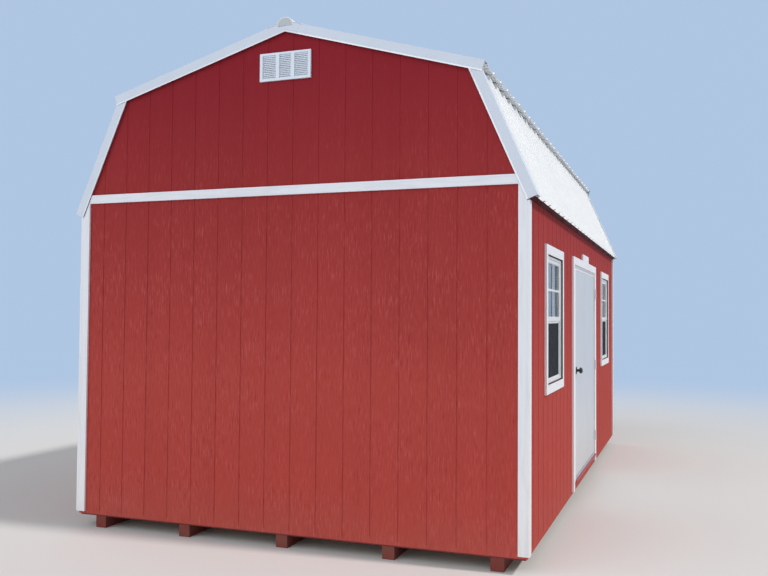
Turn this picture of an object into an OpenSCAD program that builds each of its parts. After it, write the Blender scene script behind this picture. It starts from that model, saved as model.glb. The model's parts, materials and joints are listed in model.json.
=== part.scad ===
// Portable gambrel-roof barn on skids, built from ground level up.
// Origin: middle of the footprint at ground level. The plain gable end faces -Y and the door side faces +X.

/* [Body] */
// Width over the siding of the two long sides
body_w = 3507; // [3450:1:3560]
// Length over the siding of the two gable ends
body_l = 6096; // [6000:1:6200]
// Height of the lower edge of the siding above the ground
siding_z = 100; // [95:1:120]
// Height of one full siding panel
panel_h = 2438.4; // [2420:0.1:2450]
// Thickness of the panel siding
siding_t = 11; // [9:0.5:14]
// Spacing of the siding grooves
groove_pitch = 203.2; // [190:0.1:215]
// Width of a siding groove
groove_w = 9.5; // [6:0.5:14]
// Depth of a siding groove
groove_d = 3; // [1:0.5:5]
// Height of the plain strip below the grooves
groove_stop = 28; // [20:1:35]

/* [Floor] */
// Width and height of a skid runner
skid_size = 89; // [80:1:94]
// Depth of the floor joists, wall studs and rafters
lumber_w = 89; // [80:1:92]
// Thickness of the floor joists, wall studs and rafters
lumber_t = 38; // [35:1:42]
// Thickness of the floor deck
floor_t = 16; // [12:1:19]

/* [Roof] */
// Height of the roof line at the ridge, before the ridge cap
ridge_z = 3774; // [3740:1:3810]
// Distance of the roof break from the centre line
knee_x = 1414; // [1400:1:1430]
// Distance of the roof's lower edge from the centre line
eave_x = 1819.5; // [1815:0.5:1830]
// Slope of the lower roof in degrees
lower_angle = 66.3; // [66:0.1:67]
// Slope of the upper roof in degrees
upper_angle = 16.26; // [15.5:0.01:17]
// Spacing of the roof ribs
rib_pitch = 228.6; // [200:0.1:305]
// Height of a roof rib
rib_h = 17; // [12:1:20]
// Height of the two small ribs between the roof ribs
minor_h = 3; // [2:0.5:4]
// How far the upper roof reaches past the roof break
upper_lap = 60; // [50:1:70]
// Radius of the round roll along the ridge cap
roll_r = 65; // [50:1:70]

/* [Trim] */
// Thickness of the trim boards
trim_t = 16; // [14:1:19]
// Width of the boards at the corners and of the band
trim_w = 65; // [60:1:70]
// Width of the boards around the windows
window_trim_w = 66; // [60:1:70]
// Width of the boards beside the door
door_trim_w = 89; // [80:1:95]
// Width of the folded trim along the gable roof edges
rake_w = 76; // [70:1:80]
// Height of the folded lip along the lower edge of that trim
lip_h = 15; // [10:1:20]

/* [Windows] */
// Distance of each window's centre from the middle of the wall
window_y = 1955; // [1930:1:1980]
// Width of a window frame
window_w = 730; // [700:1:760]
// Height of a window frame
window_h = 948; // [900:1:980]
// Height of the underside of a window frame
window_z = 1158; // [1140:1:1180]
// Width of the gable vent
vent_w = 406; // [380:1:430]
// Height of the gable vent
vent_h = 203; // [190:1:215]
// Height of the middle of the gable vent
vent_z = 3448; // [3430:1:3460]
// Number of blades in the gable vent
vent_blades = 13; // [9:1:15]

/* [Door] */
// Width of the door leaf
leaf_w = 1576; // [1500:1:1600]
// Thickness of the door leaf
leaf_t = 44; // [40:1:46]
// Height of the door opening's top above the ground
door_top_z = 2120; // [2100:1:2140]
// Distance of the knob from the leaf's free edge
backset = 95; // [80:1:120]
// Height of the knob above the ground
knob_z = 1170; // [1100:1:1220]
// Gap around the door leaf
door_gap = 5; // [5:0.5:6]

/* [Hidden] */

red = [0.52, 0.14, 0.13];
white = [0.90, 0.91, 0.92];
timber = [0.78, 0.64, 0.44];
board = [0.70, 0.58, 0.42];
smoked = [0.20, 0.24, 0.28, 0.5];
black = [0.05, 0.05, 0.05];
steel = [0.70, 0.71, 0.72];

// Gap between boards that butt against each other and between pieces that lie on each other
butt = 0.5;
seat = 0.1;
half_w = body_w / 2;
half_l = body_l / 2;
wall_in = half_w - siding_t;
end_in = half_l - siding_t;
room_x = wall_in - lumber_w;

// Distance of the outer skids and of the inner skids from the centre line
skid_x = [0, 805, 1555];
joist_z = skid_size;
deck_z = joist_z + lumber_w;
floor_z = deck_z + floor_t;
plate_z = 2400;
stud_pitch = 406.4;
panel_z = siding_z + panel_h;
// Offset of the front grooves from the centre line
groove_shift = 65.1;
trim_z = siding_z + 18;

// Depths below the roof line, measured square to the slope
flange_t = 2;
sheet_t = 2;
roof_deck_t = 11;
pan_d = flange_t + rib_h;
deck_d = pan_d + sheet_t;
rafter_d = deck_d + roof_deck_t;
inner_d = rafter_d + lumber_w;
rib_base = 46;
rib_top = 20;
minor_base = 26;
minor_top = 12;
// Distance of the small ribs from the middle between two ribs
minor_x = 38;
rib_count = floor((half_l - rib_base / 2) / rib_pitch);
// Distance of the sheets' ends from the roof break and from the ridge
knee_space = 27;
ridge_space = 8;
// Distance of the rake trim's face from the gable, and of its lip from that face
rake_t = 20;
rake_lip = 5;
// Width of the flange that lies on the outermost rib
rake_flange = 96;
rake_face = rake_w - lip_h;
// Length and thickness of the lap where the two upper rake trims meet
apex_lap = 115;
lap_t = 1.5;
// How far the metal reaches past the boards at the eave
drip = 12;
eave_board_l = 38;
rafter_frames = 11;

lower_dir = [cos(lower_angle), -sin(lower_angle)];
lower_out = [sin(lower_angle), cos(lower_angle)];
upper_dir = [cos(upper_angle), -sin(upper_angle)];
upper_out = [sin(upper_angle), cos(upper_angle)];
knee = [knee_x, ridge_z - knee_x * tan(upper_angle)];
eave_s = (eave_x - knee_x) / cos(lower_angle);
mitre_gap = 0.3;

// Opening of the door between its jambs, and the frame around it
jamb_t = 38;
jamb_in = leaf_w / 2 + door_gap;
jamb_out = jamb_in + jamb_t;
stop_t = 12;
stop_w = 30;
drip_z = 12;
drip_t = 5;
drip_out = 11;
head_z = door_top_z - jamb_t;
leaf_out = 6;
leaf_in = leaf_out - leaf_t;
sill_h = 18;
leaf_z = floor_z + sill_h + door_gap;
leaf_top = head_z - door_gap;
knob_y = -leaf_w / 2 + backset;
knob_reach = eave_x - half_w - leaf_out;
rough_gap = 5;
lintel_h = 140;
crown_w = 457;
crown_h = 64;
header_h = 70;
window_header_h = 71;
window_sill_h = 68;
// Width of the corner boards as seen from the gable, and distance of the band's middle from the panel joint
corner_w = 76;
band_rise = 8;
// Distance of the hole behind the vent from the vent's edge
vent_lap = 30;
// Least height of a stud over the plate of a gable wall
short_stud = 100;

hinge_h = 100;
hinge_r = 7;
pin_r = 3;
pivot_v = trim_t + 8;
pivot_y = leaf_w / 2 + door_gap / 2;
hinge_zs = [leaf_z + 180, (leaf_z + leaf_top) / 2, leaf_top - 180];
plate_t = 2;
plate_w = 40;
plate_v = pivot_v - 8.5;

// Openings of the door wall: start and end along the wall, low and high edge
door_hole = [-jamb_out - rough_gap, jamb_out + rough_gap, floor_z, door_top_z + rough_gap];
window_holes = [for (y = [-window_y, window_y])
    [y - window_w / 2 - rough_gap, y + window_w / 2 + rough_gap,
     window_z - rough_gap, window_z + window_h + rough_gap]];

// Point where the lower roof plane at depth d1 meets the upper roof plane at depth d2
function corner(d1, d2) = knee + [
    (d2 * lower_out.y - d1 * upper_out.y) / sin(lower_angle - upper_angle),
    (d1 * upper_out.x - d2 * lower_out.x) / sin(lower_angle - upper_angle)];
function ridge_at(d) = [0, ridge_z - d / cos(upper_angle)];
function by_ridge(d) = ridge_at(d) + mitre_gap * upper_dir;
function lower_at(s, d) = knee + s * lower_dir - d * lower_out;
function upper_at(s, d) = knee + s * upper_dir - d * upper_out;
function lower_z(x, d) = knee.y - (d + lower_out.x * (x - knee.x)) / lower_out.y;
function lower_x(z, d) = knee.x - (d + lower_out.y * (z - knee.y)) / lower_out.x;
function upper_z(x, d) = ridge_at(d).y - x * tan(upper_angle);
function under_z(x, d) = min(lower_z(abs(x), d), upper_z(abs(x), d));
function mirrored(pts) = [for (i = [len(pts) - 1:-1:0]) [-pts[i].x, pts[i].y]];

// Local frames of the walls: x along the wall, y outwards from the siding face, z up
module on_front() { translate([0, -half_l, 0]) mirror([0, 1, 0]) children(); }
module on_back() { translate([0, half_l, 0]) children(); }
module on_right() { translate([half_w, 0, 0]) mirror([1, -1, 0]) children(); }
module on_left() { translate([-half_w, 0, 0]) rotate([0, 0, 90]) children(); }

// Outline in the X-Z plane drawn out along Y
module along_y(y0, y1) {
    translate([0, y1, 0]) rotate([90, 0, 0]) linear_extrude(y1 - y0) children();
}

// Box between two ranges along the wall, outwards and up
module slab(x0, x1, y0, y1, z0, z1) {
    translate([x0, y0, z0]) cube([x1 - x0, y1 - y0, z1 - z0]);
}

module trim_board(x0, x1, z0, z1) {
    slab(x0, x1, 0, trim_t, z0, z1);
}

// Siding from x0 to x1 and z0 to z1, with a plain strip below the grooves where it reaches the floor
module siding(x0, x1, z0, z1, shift) {
    first = ceil((x0 + groove_w - shift) / groove_pitch);
    last = floor((x1 - groove_w - shift) / groove_pitch);
    groove_z = z0 + (z0 == siding_z ? groove_stop : -1);
    difference() {
        slab(x0, x1, -siding_t, 0, z0, z1);
        for (i = [first:last])
            translate([shift + i * groove_pitch - groove_w / 2, -groove_d, groove_z])
                cube([groove_w, groove_d + 1, z1 + 1 - groove_z]);
    }
}

module end_siding() {
    top_x = lower_x(panel_z, rafter_d + 1);
    intersection() {
        siding(-half_w, half_w, siding_z, panel_z, groove_shift);
        along_y(-siding_t - 1, 1) polygon([
            [-half_w, siding_z], [half_w, siding_z],
            [half_w, lower_z(half_w, rafter_d + 1)], [top_x, panel_z],
            [-top_x, panel_z], [-half_w, lower_z(half_w, rafter_d + 1)]]);
    }
}

module gable_siding() {
    d = rafter_d + 1;
    low_z = panel_z + butt;
    right = [[lower_x(low_z, d), low_z], corner(d, d), ridge_at(d)];
    difference() {
        intersection() {
            siding(-half_w, half_w, low_z, ridge_z, groove_shift);
            along_y(-siding_t - 1, 1) polygon(concat(right, mirrored(right)));
        }
        slab(-vent_w / 2 + vent_lap, vent_w / 2 - vent_lap, -siding_t - 1, 1,
            vent_z - vent_h / 2 + vent_lap, vent_z + vent_h / 2 - vent_lap);
    }
}

// Siding of the long sides, grooved from the front corner on
module side_siding(x0, x1, z0, z1) {
    siding(x0, x1, z0, z1, -half_l);
}

side_top = lower_z(half_w, rafter_d + 3);

module window_hole(y) {
    slab(y - window_w / 2 - 1, y + window_w / 2 + 1, -siding_t - 1, 1,
        window_z - 1, window_z + window_h + 1);
}

// One wall of studs with plates; each opening gets its own studs, header and sill
function in_hole(x, hole, margin) = x > hole[0] - margin && x < hole[1] + margin;
function clear_of(x, holes, margin) = len([for (h = holes) if (in_hole(x, h, margin)) 1]) == 0;

module member(x0, x1, z0, z1) {
    slab(x0, x1, -siding_t - lumber_w, -siding_t, z0, z1);
}

module stud(x, z0, z1) {
    member(x - lumber_t / 2, x + lumber_t / 2, z0 + butt, z1 - butt);
}

module opening_frame(hole, studs, beam_h, has_sill) {
    low = floor_z + lumber_t;
    high = plate_z - lumber_t;
    for (x = [hole[0] - lumber_t / 2, hole[1] + lumber_t / 2])
        stud(x, low, high);
    member(hole[0] + butt, hole[1] - butt, hole[3], hole[3] + beam_h);
    if (has_sill)
        member(hole[0] + butt, hole[1] - butt, hole[2] - lumber_t, hole[2]);
    for (x = studs)
        if (in_hole(x, hole, -lumber_t)) {
            stud(x, hole[3] + beam_h, high);
            if (has_sill)
                stud(x, low, hole[2] - lumber_t);
        }
}

module wall_frame(half, door_holes, windows) {
    end = half - lumber_t / 2;
    studs = concat([for (x = [-end:stud_pitch:end - lumber_t]) x], [end]);
    holes = concat(door_holes, windows);
    for (x = studs)
        if (clear_of(x, holes, lumber_t * 1.5))
            stud(x, floor_z + lumber_t, plate_z - lumber_t);
    member(-half, half, plate_z - lumber_t, plate_z);
    cuts = concat([-half], [for (h = door_holes) each [h[0], h[1]]], [half]);
    for (i = [0:2:len(cuts) - 1])
        member(cuts[i], cuts[i + 1], floor_z, floor_z + lumber_t);
    for (h = door_holes)
        opening_frame(h, studs, lintel_h, false);
    for (h = windows)
        opening_frame(h, studs, lumber_w, true);
}

module gable_frame() {
    wall_frame(room_x - butt, [], []);
    for (side = [-1, 1])
        for (x = [stud_pitch / 2:stud_pitch:room_x])
            if (under_z(x + lumber_t / 2, inner_d) > plate_z + short_stud)
                stud(side * x, plate_z, under_z(x + lumber_t / 2, inner_d));
}

module rafters() {
    foot = lower_x(plate_z, inner_d);
    gap_low = mitre_gap * lower_dir;
    gap_high = mitre_gap * upper_dir;
    for (i = [0:rafter_frames - 1]) {
        y = -end_in + lumber_t / 2 + i * (2 * end_in - lumber_t) / (rafter_frames - 1);
        along_y(y - lumber_t / 2, y + lumber_t / 2) {
            polygon([corner(rafter_d + seat, rafter_d + seat) + gap_low,
                [wall_in, lower_z(wall_in, rafter_d + seat)],
                [wall_in, plate_z], [foot, plate_z], corner(inner_d, inner_d) + gap_low]);
            polygon([by_ridge(rafter_d + seat), corner(rafter_d + seat, rafter_d + seat) - gap_high,
                corner(inner_d, inner_d) - gap_high, by_ridge(inner_d)]);
        }
    }
}

module roof_deck() {
    s_end = eave_s - drip - eave_board_l;
    gap_low = mitre_gap * lower_dir;
    gap_high = mitre_gap * upper_dir;
    along_y(-half_l, half_l) {
        polygon([corner(deck_d + seat, deck_d + seat) + gap_low, lower_at(s_end, deck_d + seat),
            lower_at(s_end, rafter_d), corner(rafter_d, rafter_d) + gap_low]);
        polygon([by_ridge(deck_d + seat), corner(deck_d + seat, deck_d + seat) - gap_high,
            corner(rafter_d, rafter_d) - gap_high, by_ridge(rafter_d)]);
    }
}

// Profile across a slope, drawn down the slope from s0 to s1 in the frame of the roof break
module down_slope(angle, s0, s1) {
    translate([knee.x, 0, knee.y]) rotate([0, angle, 0]) translate([s0, 0, 0])
        rotate([90, 0, 90]) linear_extrude(s1 - s0) children();
}

// Outline of one rib at x, and of a ribbed sheet: large ribs with two small ones in each space
function rib_at(x, base, top, high, low) =
    [[x - base / 2, low], [x - top / 2, high], [x + top / 2, high], [x + base / 2, low]];
function rib_line(drop) = [for (i = [-rib_count:rib_count]) each concat(
    rib_at(i * rib_pitch, rib_base, rib_top, -flange_t - drop, -pan_d - drop),
    [for (x = [-minor_x, minor_x]) if (i < rib_count)
        each rib_at((i + 0.5) * rib_pitch + x, minor_base, minor_top,
            minor_h - pan_d - drop, -pan_d - drop)])];
function reversed(pts) = [for (i = [len(pts) - 1:-1:0]) pts[i]];

module ribbed_sheet(angle, s0, s1) {
    outer = concat([[-half_l, -pan_d]], rib_line(0), [[half_l, -pan_d]]);
    inner = concat([[-half_l, -deck_d]], rib_line(sheet_t), [[half_l, -deck_d]]);
    down_slope(angle, s0, s1) polygon(concat(outer, reversed(inner)));
}

module lower_roof() { ribbed_sheet(lower_angle, knee_space, eave_s); }

module upper_roof() {
    ribbed_sheet(upper_angle, ridge_space - knee_x / cos(upper_angle), upper_lap);
}

// Rake trim: one folded sheet with a flange on the roof, a face, a leg back to the gable and a lip turned
// outwards, cut to lengths that meet at the ridge and below the roof break
rake_profile = [[-rake_flange, 0], [rake_t, 0], [rake_t, -rake_face],
    [rake_t + rake_lip, flange_t - rake_w], [rake_t + rake_lip, -rake_w],
    [rake_t + rake_lip - flange_t, -rake_w], [rake_t + rake_lip - flange_t, flange_t - rake_w],
    [rake_t - flange_t, -rake_face - flange_t], [0, -rake_face - flange_t], [0, -rake_face],
    [rake_t - flange_t, -rake_face], [rake_t - flange_t, -flange_t], [-rake_flange, -flange_t]];

module rake_length(angle, s0, s1, outline) {
    intersection() {
        down_slope(angle, s0, s1) polygon(rake_profile);
        along_y(-rake_flange - 1, rake_t + rake_lip + 1) polygon(outline);
    }
}

module rake_half() {
    past = rake_w + 1;
    rake_length(lower_angle, 0, eave_s, [corner(-1, rake_w + seat), lower_at(eave_s + 1, -1),
        lower_at(eave_s + 1, past), corner(past, rake_w + seat)]);
    rake_length(upper_angle, -knee_x / cos(upper_angle) - rake_w, upper_lap, [by_ridge(-1),
        upper_at(upper_lap + 1, -1), upper_at(upper_lap + 1, past), by_ridge(past)]);
}

module rake_trim() {
    rake_half();
    mirror([1, 0, 0]) rake_half();
    lap_s = (apex_lap - knee_x) / cos(upper_angle);
    along_y(rake_t - 1, rake_t + lap_t) polygon([ridge_at(1), upper_at(lap_s, 1), upper_at(lap_s, rake_face),
        ridge_at(rake_face), [-lap_t, upper_z(lap_t, rake_face)], [-lap_t, upper_z(lap_t, 1)]]);
}

// Ridge cap: sheet laid on the ribs, raised to a round roll with closed ends
cap_half = 150;
hem_w = 10;
hem_t = 3.2;
roll_rise = 28;
roll_z = ridge_z + roll_rise - roll_r;
// How far the roll's end discs are set back behind its rim
disc_in = 2;
cap_reach = half_l + rake_t + rake_lip + 1;

// Round bar along the ridge from y0 to y1
module ridge_bar(y0, y1, r) {
    translate([0, y1, roll_z]) rotate([90, 0, 0]) cylinder(h = y1 - y0, r = r, $fn = 96);
}

module cap_roll() {
    side = roll_r + 5;
    difference() {
        ridge_bar(-cap_reach, cap_reach, roll_r);
        ridge_bar(-cap_reach - 1, cap_reach + 1, roll_r - sheet_t);
        along_y(-cap_reach - 1, cap_reach + 1) polygon([[-side, roll_z - side], [side, roll_z - side],
            [side, upper_z(side, 0) + 1], [0, ridge_z + 1], [-side, upper_z(side, 0) + 1]]);
    }
    for (y = [disc_in - cap_reach, cap_reach - disc_in - sheet_t])
        intersection() {
            ridge_bar(y, y + sheet_t, roll_r - 1);
            translate([-side, y - 1, roll_z]) cube([2 * side, sheet_t + 2, side]);
        }
}

// One flank of the cap, from the foot of the roll to an edge folded back on itself
module cap_flank() {
    foot = roll_r - 4;
    hem_x = cap_half - hem_w;
    along_y(-cap_reach, cap_reach) polygon([[foot, upper_z(foot, -seat)],
        [cap_half, upper_z(cap_half, -seat)], [cap_half, upper_z(cap_half, -hem_t)],
        [hem_x, upper_z(hem_x, -hem_t)], [hem_x, upper_z(hem_x, -sheet_t)], [foot, upper_z(foot, -sheet_t)]]);
}

module eave_board() {
    s_end = eave_s - drip;
    s_start = s_end - eave_board_l + butt;
    end_d = (knee.x + s_end * lower_dir.x - half_w) / lower_out.x;
    along_y(-half_l, half_l) polygon([lower_at(s_end, deck_d + seat), lower_at(s_start, deck_d + seat),
        lower_at(s_start, rafter_d + seat), [half_w, lower_z(half_w, rafter_d + seat)],
        lower_at(s_end, end_d)]);
}

// Corner boards of the right front corner, in the front wall's frame
module corner_trim() {
    in_x = half_w + trim_t - corner_w;
    d = rake_w + 1;
    along_y(0, trim_t) polygon([[in_x, trim_z], [half_w - butt, trim_z],
        [half_w - butt, lower_z(half_w, d)], [in_x, lower_z(in_x, d)]]);
    slab(half_w, half_w + trim_t, -trim_w + trim_t, trim_t, trim_z, lower_at(eave_s, rake_w).y - 2);
}

module band() {
    in_x = half_w + trim_t - corner_w - butt;
    d = rake_w + 1;
    low = panel_z - trim_w / 2 + band_rise;
    high = low + trim_w;
    right = [[in_x, low], [in_x, lower_z(in_x, d)], [lower_x(high, d), high]];
    along_y(0, trim_t) polygon(concat(right, mirrored(right)));
}

// Louvred vent in the gable, in the wall's frame: two bars over blades that are nearly closed
module vent() {
    side_edge = 22;
    edge = 15;
    depth = 16;
    bar = 28;
    blade_w = 15.5;
    blade_t = 1.6;
    blade_angle = -60;
    in_w = vent_w - 2 * side_edge;
    in_h = vent_h - 2 * edge;
    low = vent_z - in_h / 2;
    difference() {
        slab(-vent_w / 2, vent_w / 2, 0, depth, vent_z - vent_h / 2, vent_z + vent_h / 2);
        slab(-in_w / 2, in_w / 2, -1, depth + 1, low, low + in_h);
    }
    for (x = [-1, 1])
        slab(x * in_w / 6 - bar / 2, x * in_w / 6 + bar / 2, 0, depth, low - 1, low + in_h + 1);
    for (i = [0:vent_blades - 1])
        translate([0, depth / 2, low + (i + 0.5) * in_h / vent_blades])
            rotate([blade_angle, 0, 0]) cube([in_w + 2, blade_w, blade_t], center = true);
}

// Single-hung window: frame, upper sash with a cross of bars, lower sash set back behind a screen frame
frame_edge = 20;
frame_front = 3;
// Shadow gap between the frame's face and the trim boards, and its depth
frame_step = 6;
step_depth = 8;
sash_rail = 28;
sash_front = -4;
sash_t = 22;
bead = 6;
bar_w = 16;
glass_t = 4;
screen_edge = 17;

module ring(x0, x1, y0, y1, z0, z1, edge) {
    difference() {
        slab(x0, x1, y0, y1, z0, z1);
        slab(x0 + edge, x1 - edge, y0 - 1, y1 + 1, z0 + edge, z1 - edge);
    }
}

// Sash with its front at y and a thin bead around the glass
module sash(x0, x1, y, z0, z1) {
    ring(x0, x1, y - sash_t, y, z0, z1, sash_rail);
    lap = sash_rail - 1;
    ring(x0 + lap, x1 - lap, y - 9, y - 3, z0 + lap, z1 - lap, bead + 1);
}

module window_unit(y) {
    x0 = y - window_w / 2;
    x1 = y + window_w / 2;
    z0 = window_z;
    z1 = window_z + window_h;
    mid = (z0 + z1) / 2;
    in0 = x0 + frame_edge - 1;
    in1 = x1 - frame_edge + 1;
    low = z0 + frame_edge - 1;
    ring(x0, x1, -60, frame_front - step_depth, z0, z1, frame_edge);
    ring(x0 + frame_step, x1 - frame_step, frame_front - step_depth - 1, frame_front,
        z0 + frame_step, z1 - frame_step, frame_edge - frame_step);
    sash(in0, in1, sash_front, mid - sash_rail / 2, z1 - frame_edge + 1);
    sash(in0, in1, sash_front - sash_t + 1, low, mid + sash_rail / 2);
    top = z1 - frame_edge - sash_rail;
    slab(y - bar_w / 2, y + bar_w / 2, sash_front - 9, sash_front - 3, mid, top + 2);
    slab(in0 + 3, in1 - 3, sash_front - 9, sash_front - 3, (mid + top) / 2, (mid + top) / 2 + bar_w);
    ring(in0, in1, -20, -10, low, mid - sash_rail / 2 + 1, screen_edge);
}

module window_glass(y) {
    gx = window_w / 2 - frame_edge - sash_rail;
    mid = window_z + window_h / 2;
    outer = sash_front - 10 - glass_t;
    inner = outer - sash_t + 1;
    edge = frame_edge + sash_rail;
    slab(y - gx, y + gx, outer, outer + glass_t, mid + sash_rail / 2, window_z + window_h - edge);
    slab(y - gx, y + gx, inner, inner + glass_t, window_z + edge, mid - sash_rail / 2);
}

module window_trim(y) {
    x0 = y - window_w / 2 - 1;
    x1 = y + window_w / 2 + 1;
    z0 = window_z - 1;
    z1 = window_z + window_h + 1;
    w = window_trim_w;
    trim_board(x0 - w, x0, z0, z1);
    trim_board(x1, x1 + w, z0, z1);
    trim_board(x0 - w, x1 + w, z1 + butt, z1 + window_header_h);
    trim_board(x0 - w, x1 + w, z0 - window_sill_h, z0 - butt);
}

module door_trim_boards() {
    x = jamb_out;
    trim_board(-x - door_trim_w, -x - butt, trim_z, door_top_z);
    trim_board(x + butt, x + door_trim_w, trim_z, door_top_z);
    trim_board(-x - door_trim_w, x + door_trim_w, door_top_z + butt, door_top_z + header_h);
    trim_board(-crown_w / 2, crown_w / 2, door_top_z + header_h + butt, door_top_z + header_h + crown_h);
}

module door_jambs() {
    back = -siding_t - lumber_w;
    stop_front = leaf_in - door_gap;
    for (side = [0, 1])
        mirror([side, 0, 0]) {
            slab(jamb_in, jamb_out, back, trim_t, floor_z, head_z - butt);
            slab(jamb_in - stop_t, jamb_in - butt, stop_front - stop_w, stop_front,
                floor_z + sill_h + butt, head_z - stop_t - butt);
        }
    slab(-jamb_out, jamb_out, back, 0, head_z, door_top_z);
    slab(-jamb_out, jamb_out, -1, drip_out, door_top_z - drip_z, door_top_z - drip_z + drip_t);
    slab(-jamb_in, jamb_in, stop_front - stop_w, stop_front, head_z - stop_t, head_z - butt);
}

module threshold() {
    x = jamb_in - butt;
    nose_y = trim_t + 12;
    step_y = butt - siding_t;
    translate([-x, 0, 0]) rotate([90, 0, 90]) linear_extrude(2 * x) polygon([
        [-siding_t - lumber_w, floor_z], [step_y, floor_z], [step_y, floor_z - 10],
        [nose_y, floor_z - 10], [nose_y, floor_z + 6], [leaf_out, floor_z + sill_h - 4],
        [leaf_in, floor_z + sill_h], [-siding_t - lumber_w, floor_z + sill_h - 6]]);
}

// Butt hinges: the frame's halves carry the pin, the door's halves turn on it
module frame_hinge(z) {
    third = hinge_h / 3;
    slab(jamb_in - plate_t, jamb_in, plate_v - plate_w, plate_v, z - hinge_h / 2, z + hinge_h / 2);
    for (k = [-1, 1])
        translate([0, 0, z + k * third - (third - 1) / 2]) {
            translate([pivot_y, pivot_v, 0]) cylinder(h = third - 1, r = hinge_r, $fn = 48);
            slab(jamb_in - plate_t, jamb_in, plate_v - butt, pivot_v - 4, 0, third - 1);
        }
    translate([pivot_y, pivot_v, z - hinge_h / 2 + 2]) cylinder(h = hinge_h - 4, r = pin_r, $fn = 48);
}

module door_hinge(z) {
    third = hinge_h / 3;
    edge = leaf_w / 2;
    slab(edge, edge + plate_t, plate_v - plate_w, plate_v, z - hinge_h / 2, z + hinge_h / 2);
    translate([0, 0, z - (third - 1) / 2]) difference() {
        union() {
            translate([pivot_y, pivot_v, 0]) cylinder(h = third - 1, r = hinge_r, $fn = 48);
            slab(edge, edge + plate_t, plate_v - butt, pivot_v - 4, 0, third - 1);
        }
        translate([pivot_y, pivot_v, -1]) cylinder(h = third + 1, r = pin_r + 0.4, $fn = 48);
    }
}

module leaf() {
    difference() {
        slab(-leaf_w / 2, leaf_w / 2, leaf_in, leaf_out, leaf_z, leaf_top);
        translate([knob_y, leaf_out + 1, knob_z]) rotate([90, 0, 0])
            cylinder(h = leaf_t + 2, r = 27, $fn = 64);
    }
}

// Turned outline of half a rose plate, and of a knob with its neck
module rose() {
    rotate_extrude($fn = 64) polygon([[17, 0], [34, 0], [34, 3], [30, 7], [17, 9]]);
}

module knob() {
    rotate_extrude($fn = 64) polygon([[0, -leaf_t / 2 - 1], [8, -leaf_t / 2 - 1], [8, -2], [14, 0], [14, 12],
        [11, 20], [14, 28], [23, 33], [28, 40], [28, 47], [24, 52], [14, knob_reach - 1], [0, knob_reach]]);
}

module on_knob() {
    translate([knob_y, 0, knob_z]) children();
}

module skids() {
    color(red) for (x = skid_x, side = [-1, 1])
        if (x > 0 || side > 0)
            translate([side * x - skid_size / 2, -end_in, 0]) cube([skid_size, 2 * end_in, skid_size]);
}

module floor_joists() {
    rim_x = wall_in - lumber_t;
    span = 2 * end_in - lumber_t;
    color(timber) {
        for (x = [-wall_in, rim_x])
            translate([x, -end_in, joist_z]) cube([lumber_t, 2 * end_in, lumber_w]);
        for (i = [0:15])
            translate([-rim_x + butt, -end_in + i * span / 15, joist_z])
                cube([2 * (rim_x - butt), lumber_t, lumber_w]);
    }
}

module floor_deck() {
    color(board) translate([-wall_in, -end_in, deck_z]) cube([2 * wall_in, 2 * end_in, floor_t]);
}

module front_siding() { color(red) on_front() end_siding(); }
module front_gable_siding() { color(red) on_front() gable_siding(); }
module back_siding() { color(red) on_back() end_siding(); }
module back_gable_siding() { color(red) on_back() gable_siding(); }
module left_siding() { color(red) on_left() side_siding(-end_in, end_in, siding_z, side_top); }

module right_siding_front() {
    color(red) on_right() difference() {
        side_siding(-end_in, -jamb_out - butt, siding_z, side_top);
        window_hole(-window_y);
    }
}

module right_siding_door_bay() {
    color(red) on_right() {
        side_siding(-jamb_out, jamb_out, siding_z, floor_z - 12);
        side_siding(-jamb_out, jamb_out, door_top_z + butt, side_top);
    }
}

module right_siding_back() {
    color(red) on_right() difference() {
        side_siding(jamb_out + butt, end_in, siding_z, side_top);
        window_hole(window_y);
    }
}

module front_wall_frame() { color(timber) on_front() gable_frame(); }
module back_wall_frame() { color(timber) on_back() gable_frame(); }
module left_wall_frame() { color(timber) on_left() wall_frame(end_in, [], []); }
module right_wall_frame() { color(timber) on_right() wall_frame(end_in, [door_hole], window_holes); }

module right_rafters() { color(timber) rafters(); }
module left_rafters() { mirror([1, 0, 0]) right_rafters(); }
module right_roof_deck() { color(board) roof_deck(); }
module left_roof_deck() { mirror([1, 0, 0]) right_roof_deck(); }
module right_lower_roof() { color(white) lower_roof(); }
module left_lower_roof() { mirror([1, 0, 0]) right_lower_roof(); }
module right_upper_roof() { color(white) upper_roof(); }
module left_upper_roof() { mirror([1, 0, 0]) right_upper_roof(); }

module ridge_cap() {
    color(white) {
        cap_roll();
        cap_flank();
        mirror([1, 0, 0]) cap_flank();
    }
}

module front_rake_trim() { color(white) on_front() rake_trim(); }
module back_rake_trim() { color(white) on_back() rake_trim(); }
module right_eave_board() { color(red) eave_board(); }
module left_eave_board() { mirror([1, 0, 0]) right_eave_board(); }
module front_right_corner_trim() { color(white) on_front() corner_trim(); }
module front_left_corner_trim() { mirror([1, 0, 0]) front_right_corner_trim(); }
module back_right_corner_trim() { color(white) on_back() corner_trim(); }
module back_left_corner_trim() { mirror([1, 0, 0]) back_right_corner_trim(); }
module front_band() { color(white) on_front() band(); }
module back_band() { color(white) on_back() band(); }
module front_vent() { color(white) on_front() vent(); }
module back_vent() { color(white) on_back() vent(); }

module window_trims() {
    color(white) on_right() {
        window_trim(-window_y);
        window_trim(window_y);
    }
}

module front_window() { color(white) on_right() window_unit(-window_y); }
module rear_window() { color(white) on_right() window_unit(window_y); }
module front_window_glass() { color(smoked) on_right() window_glass(-window_y); }
module rear_window_glass() { color(smoked) on_right() window_glass(window_y); }

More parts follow.
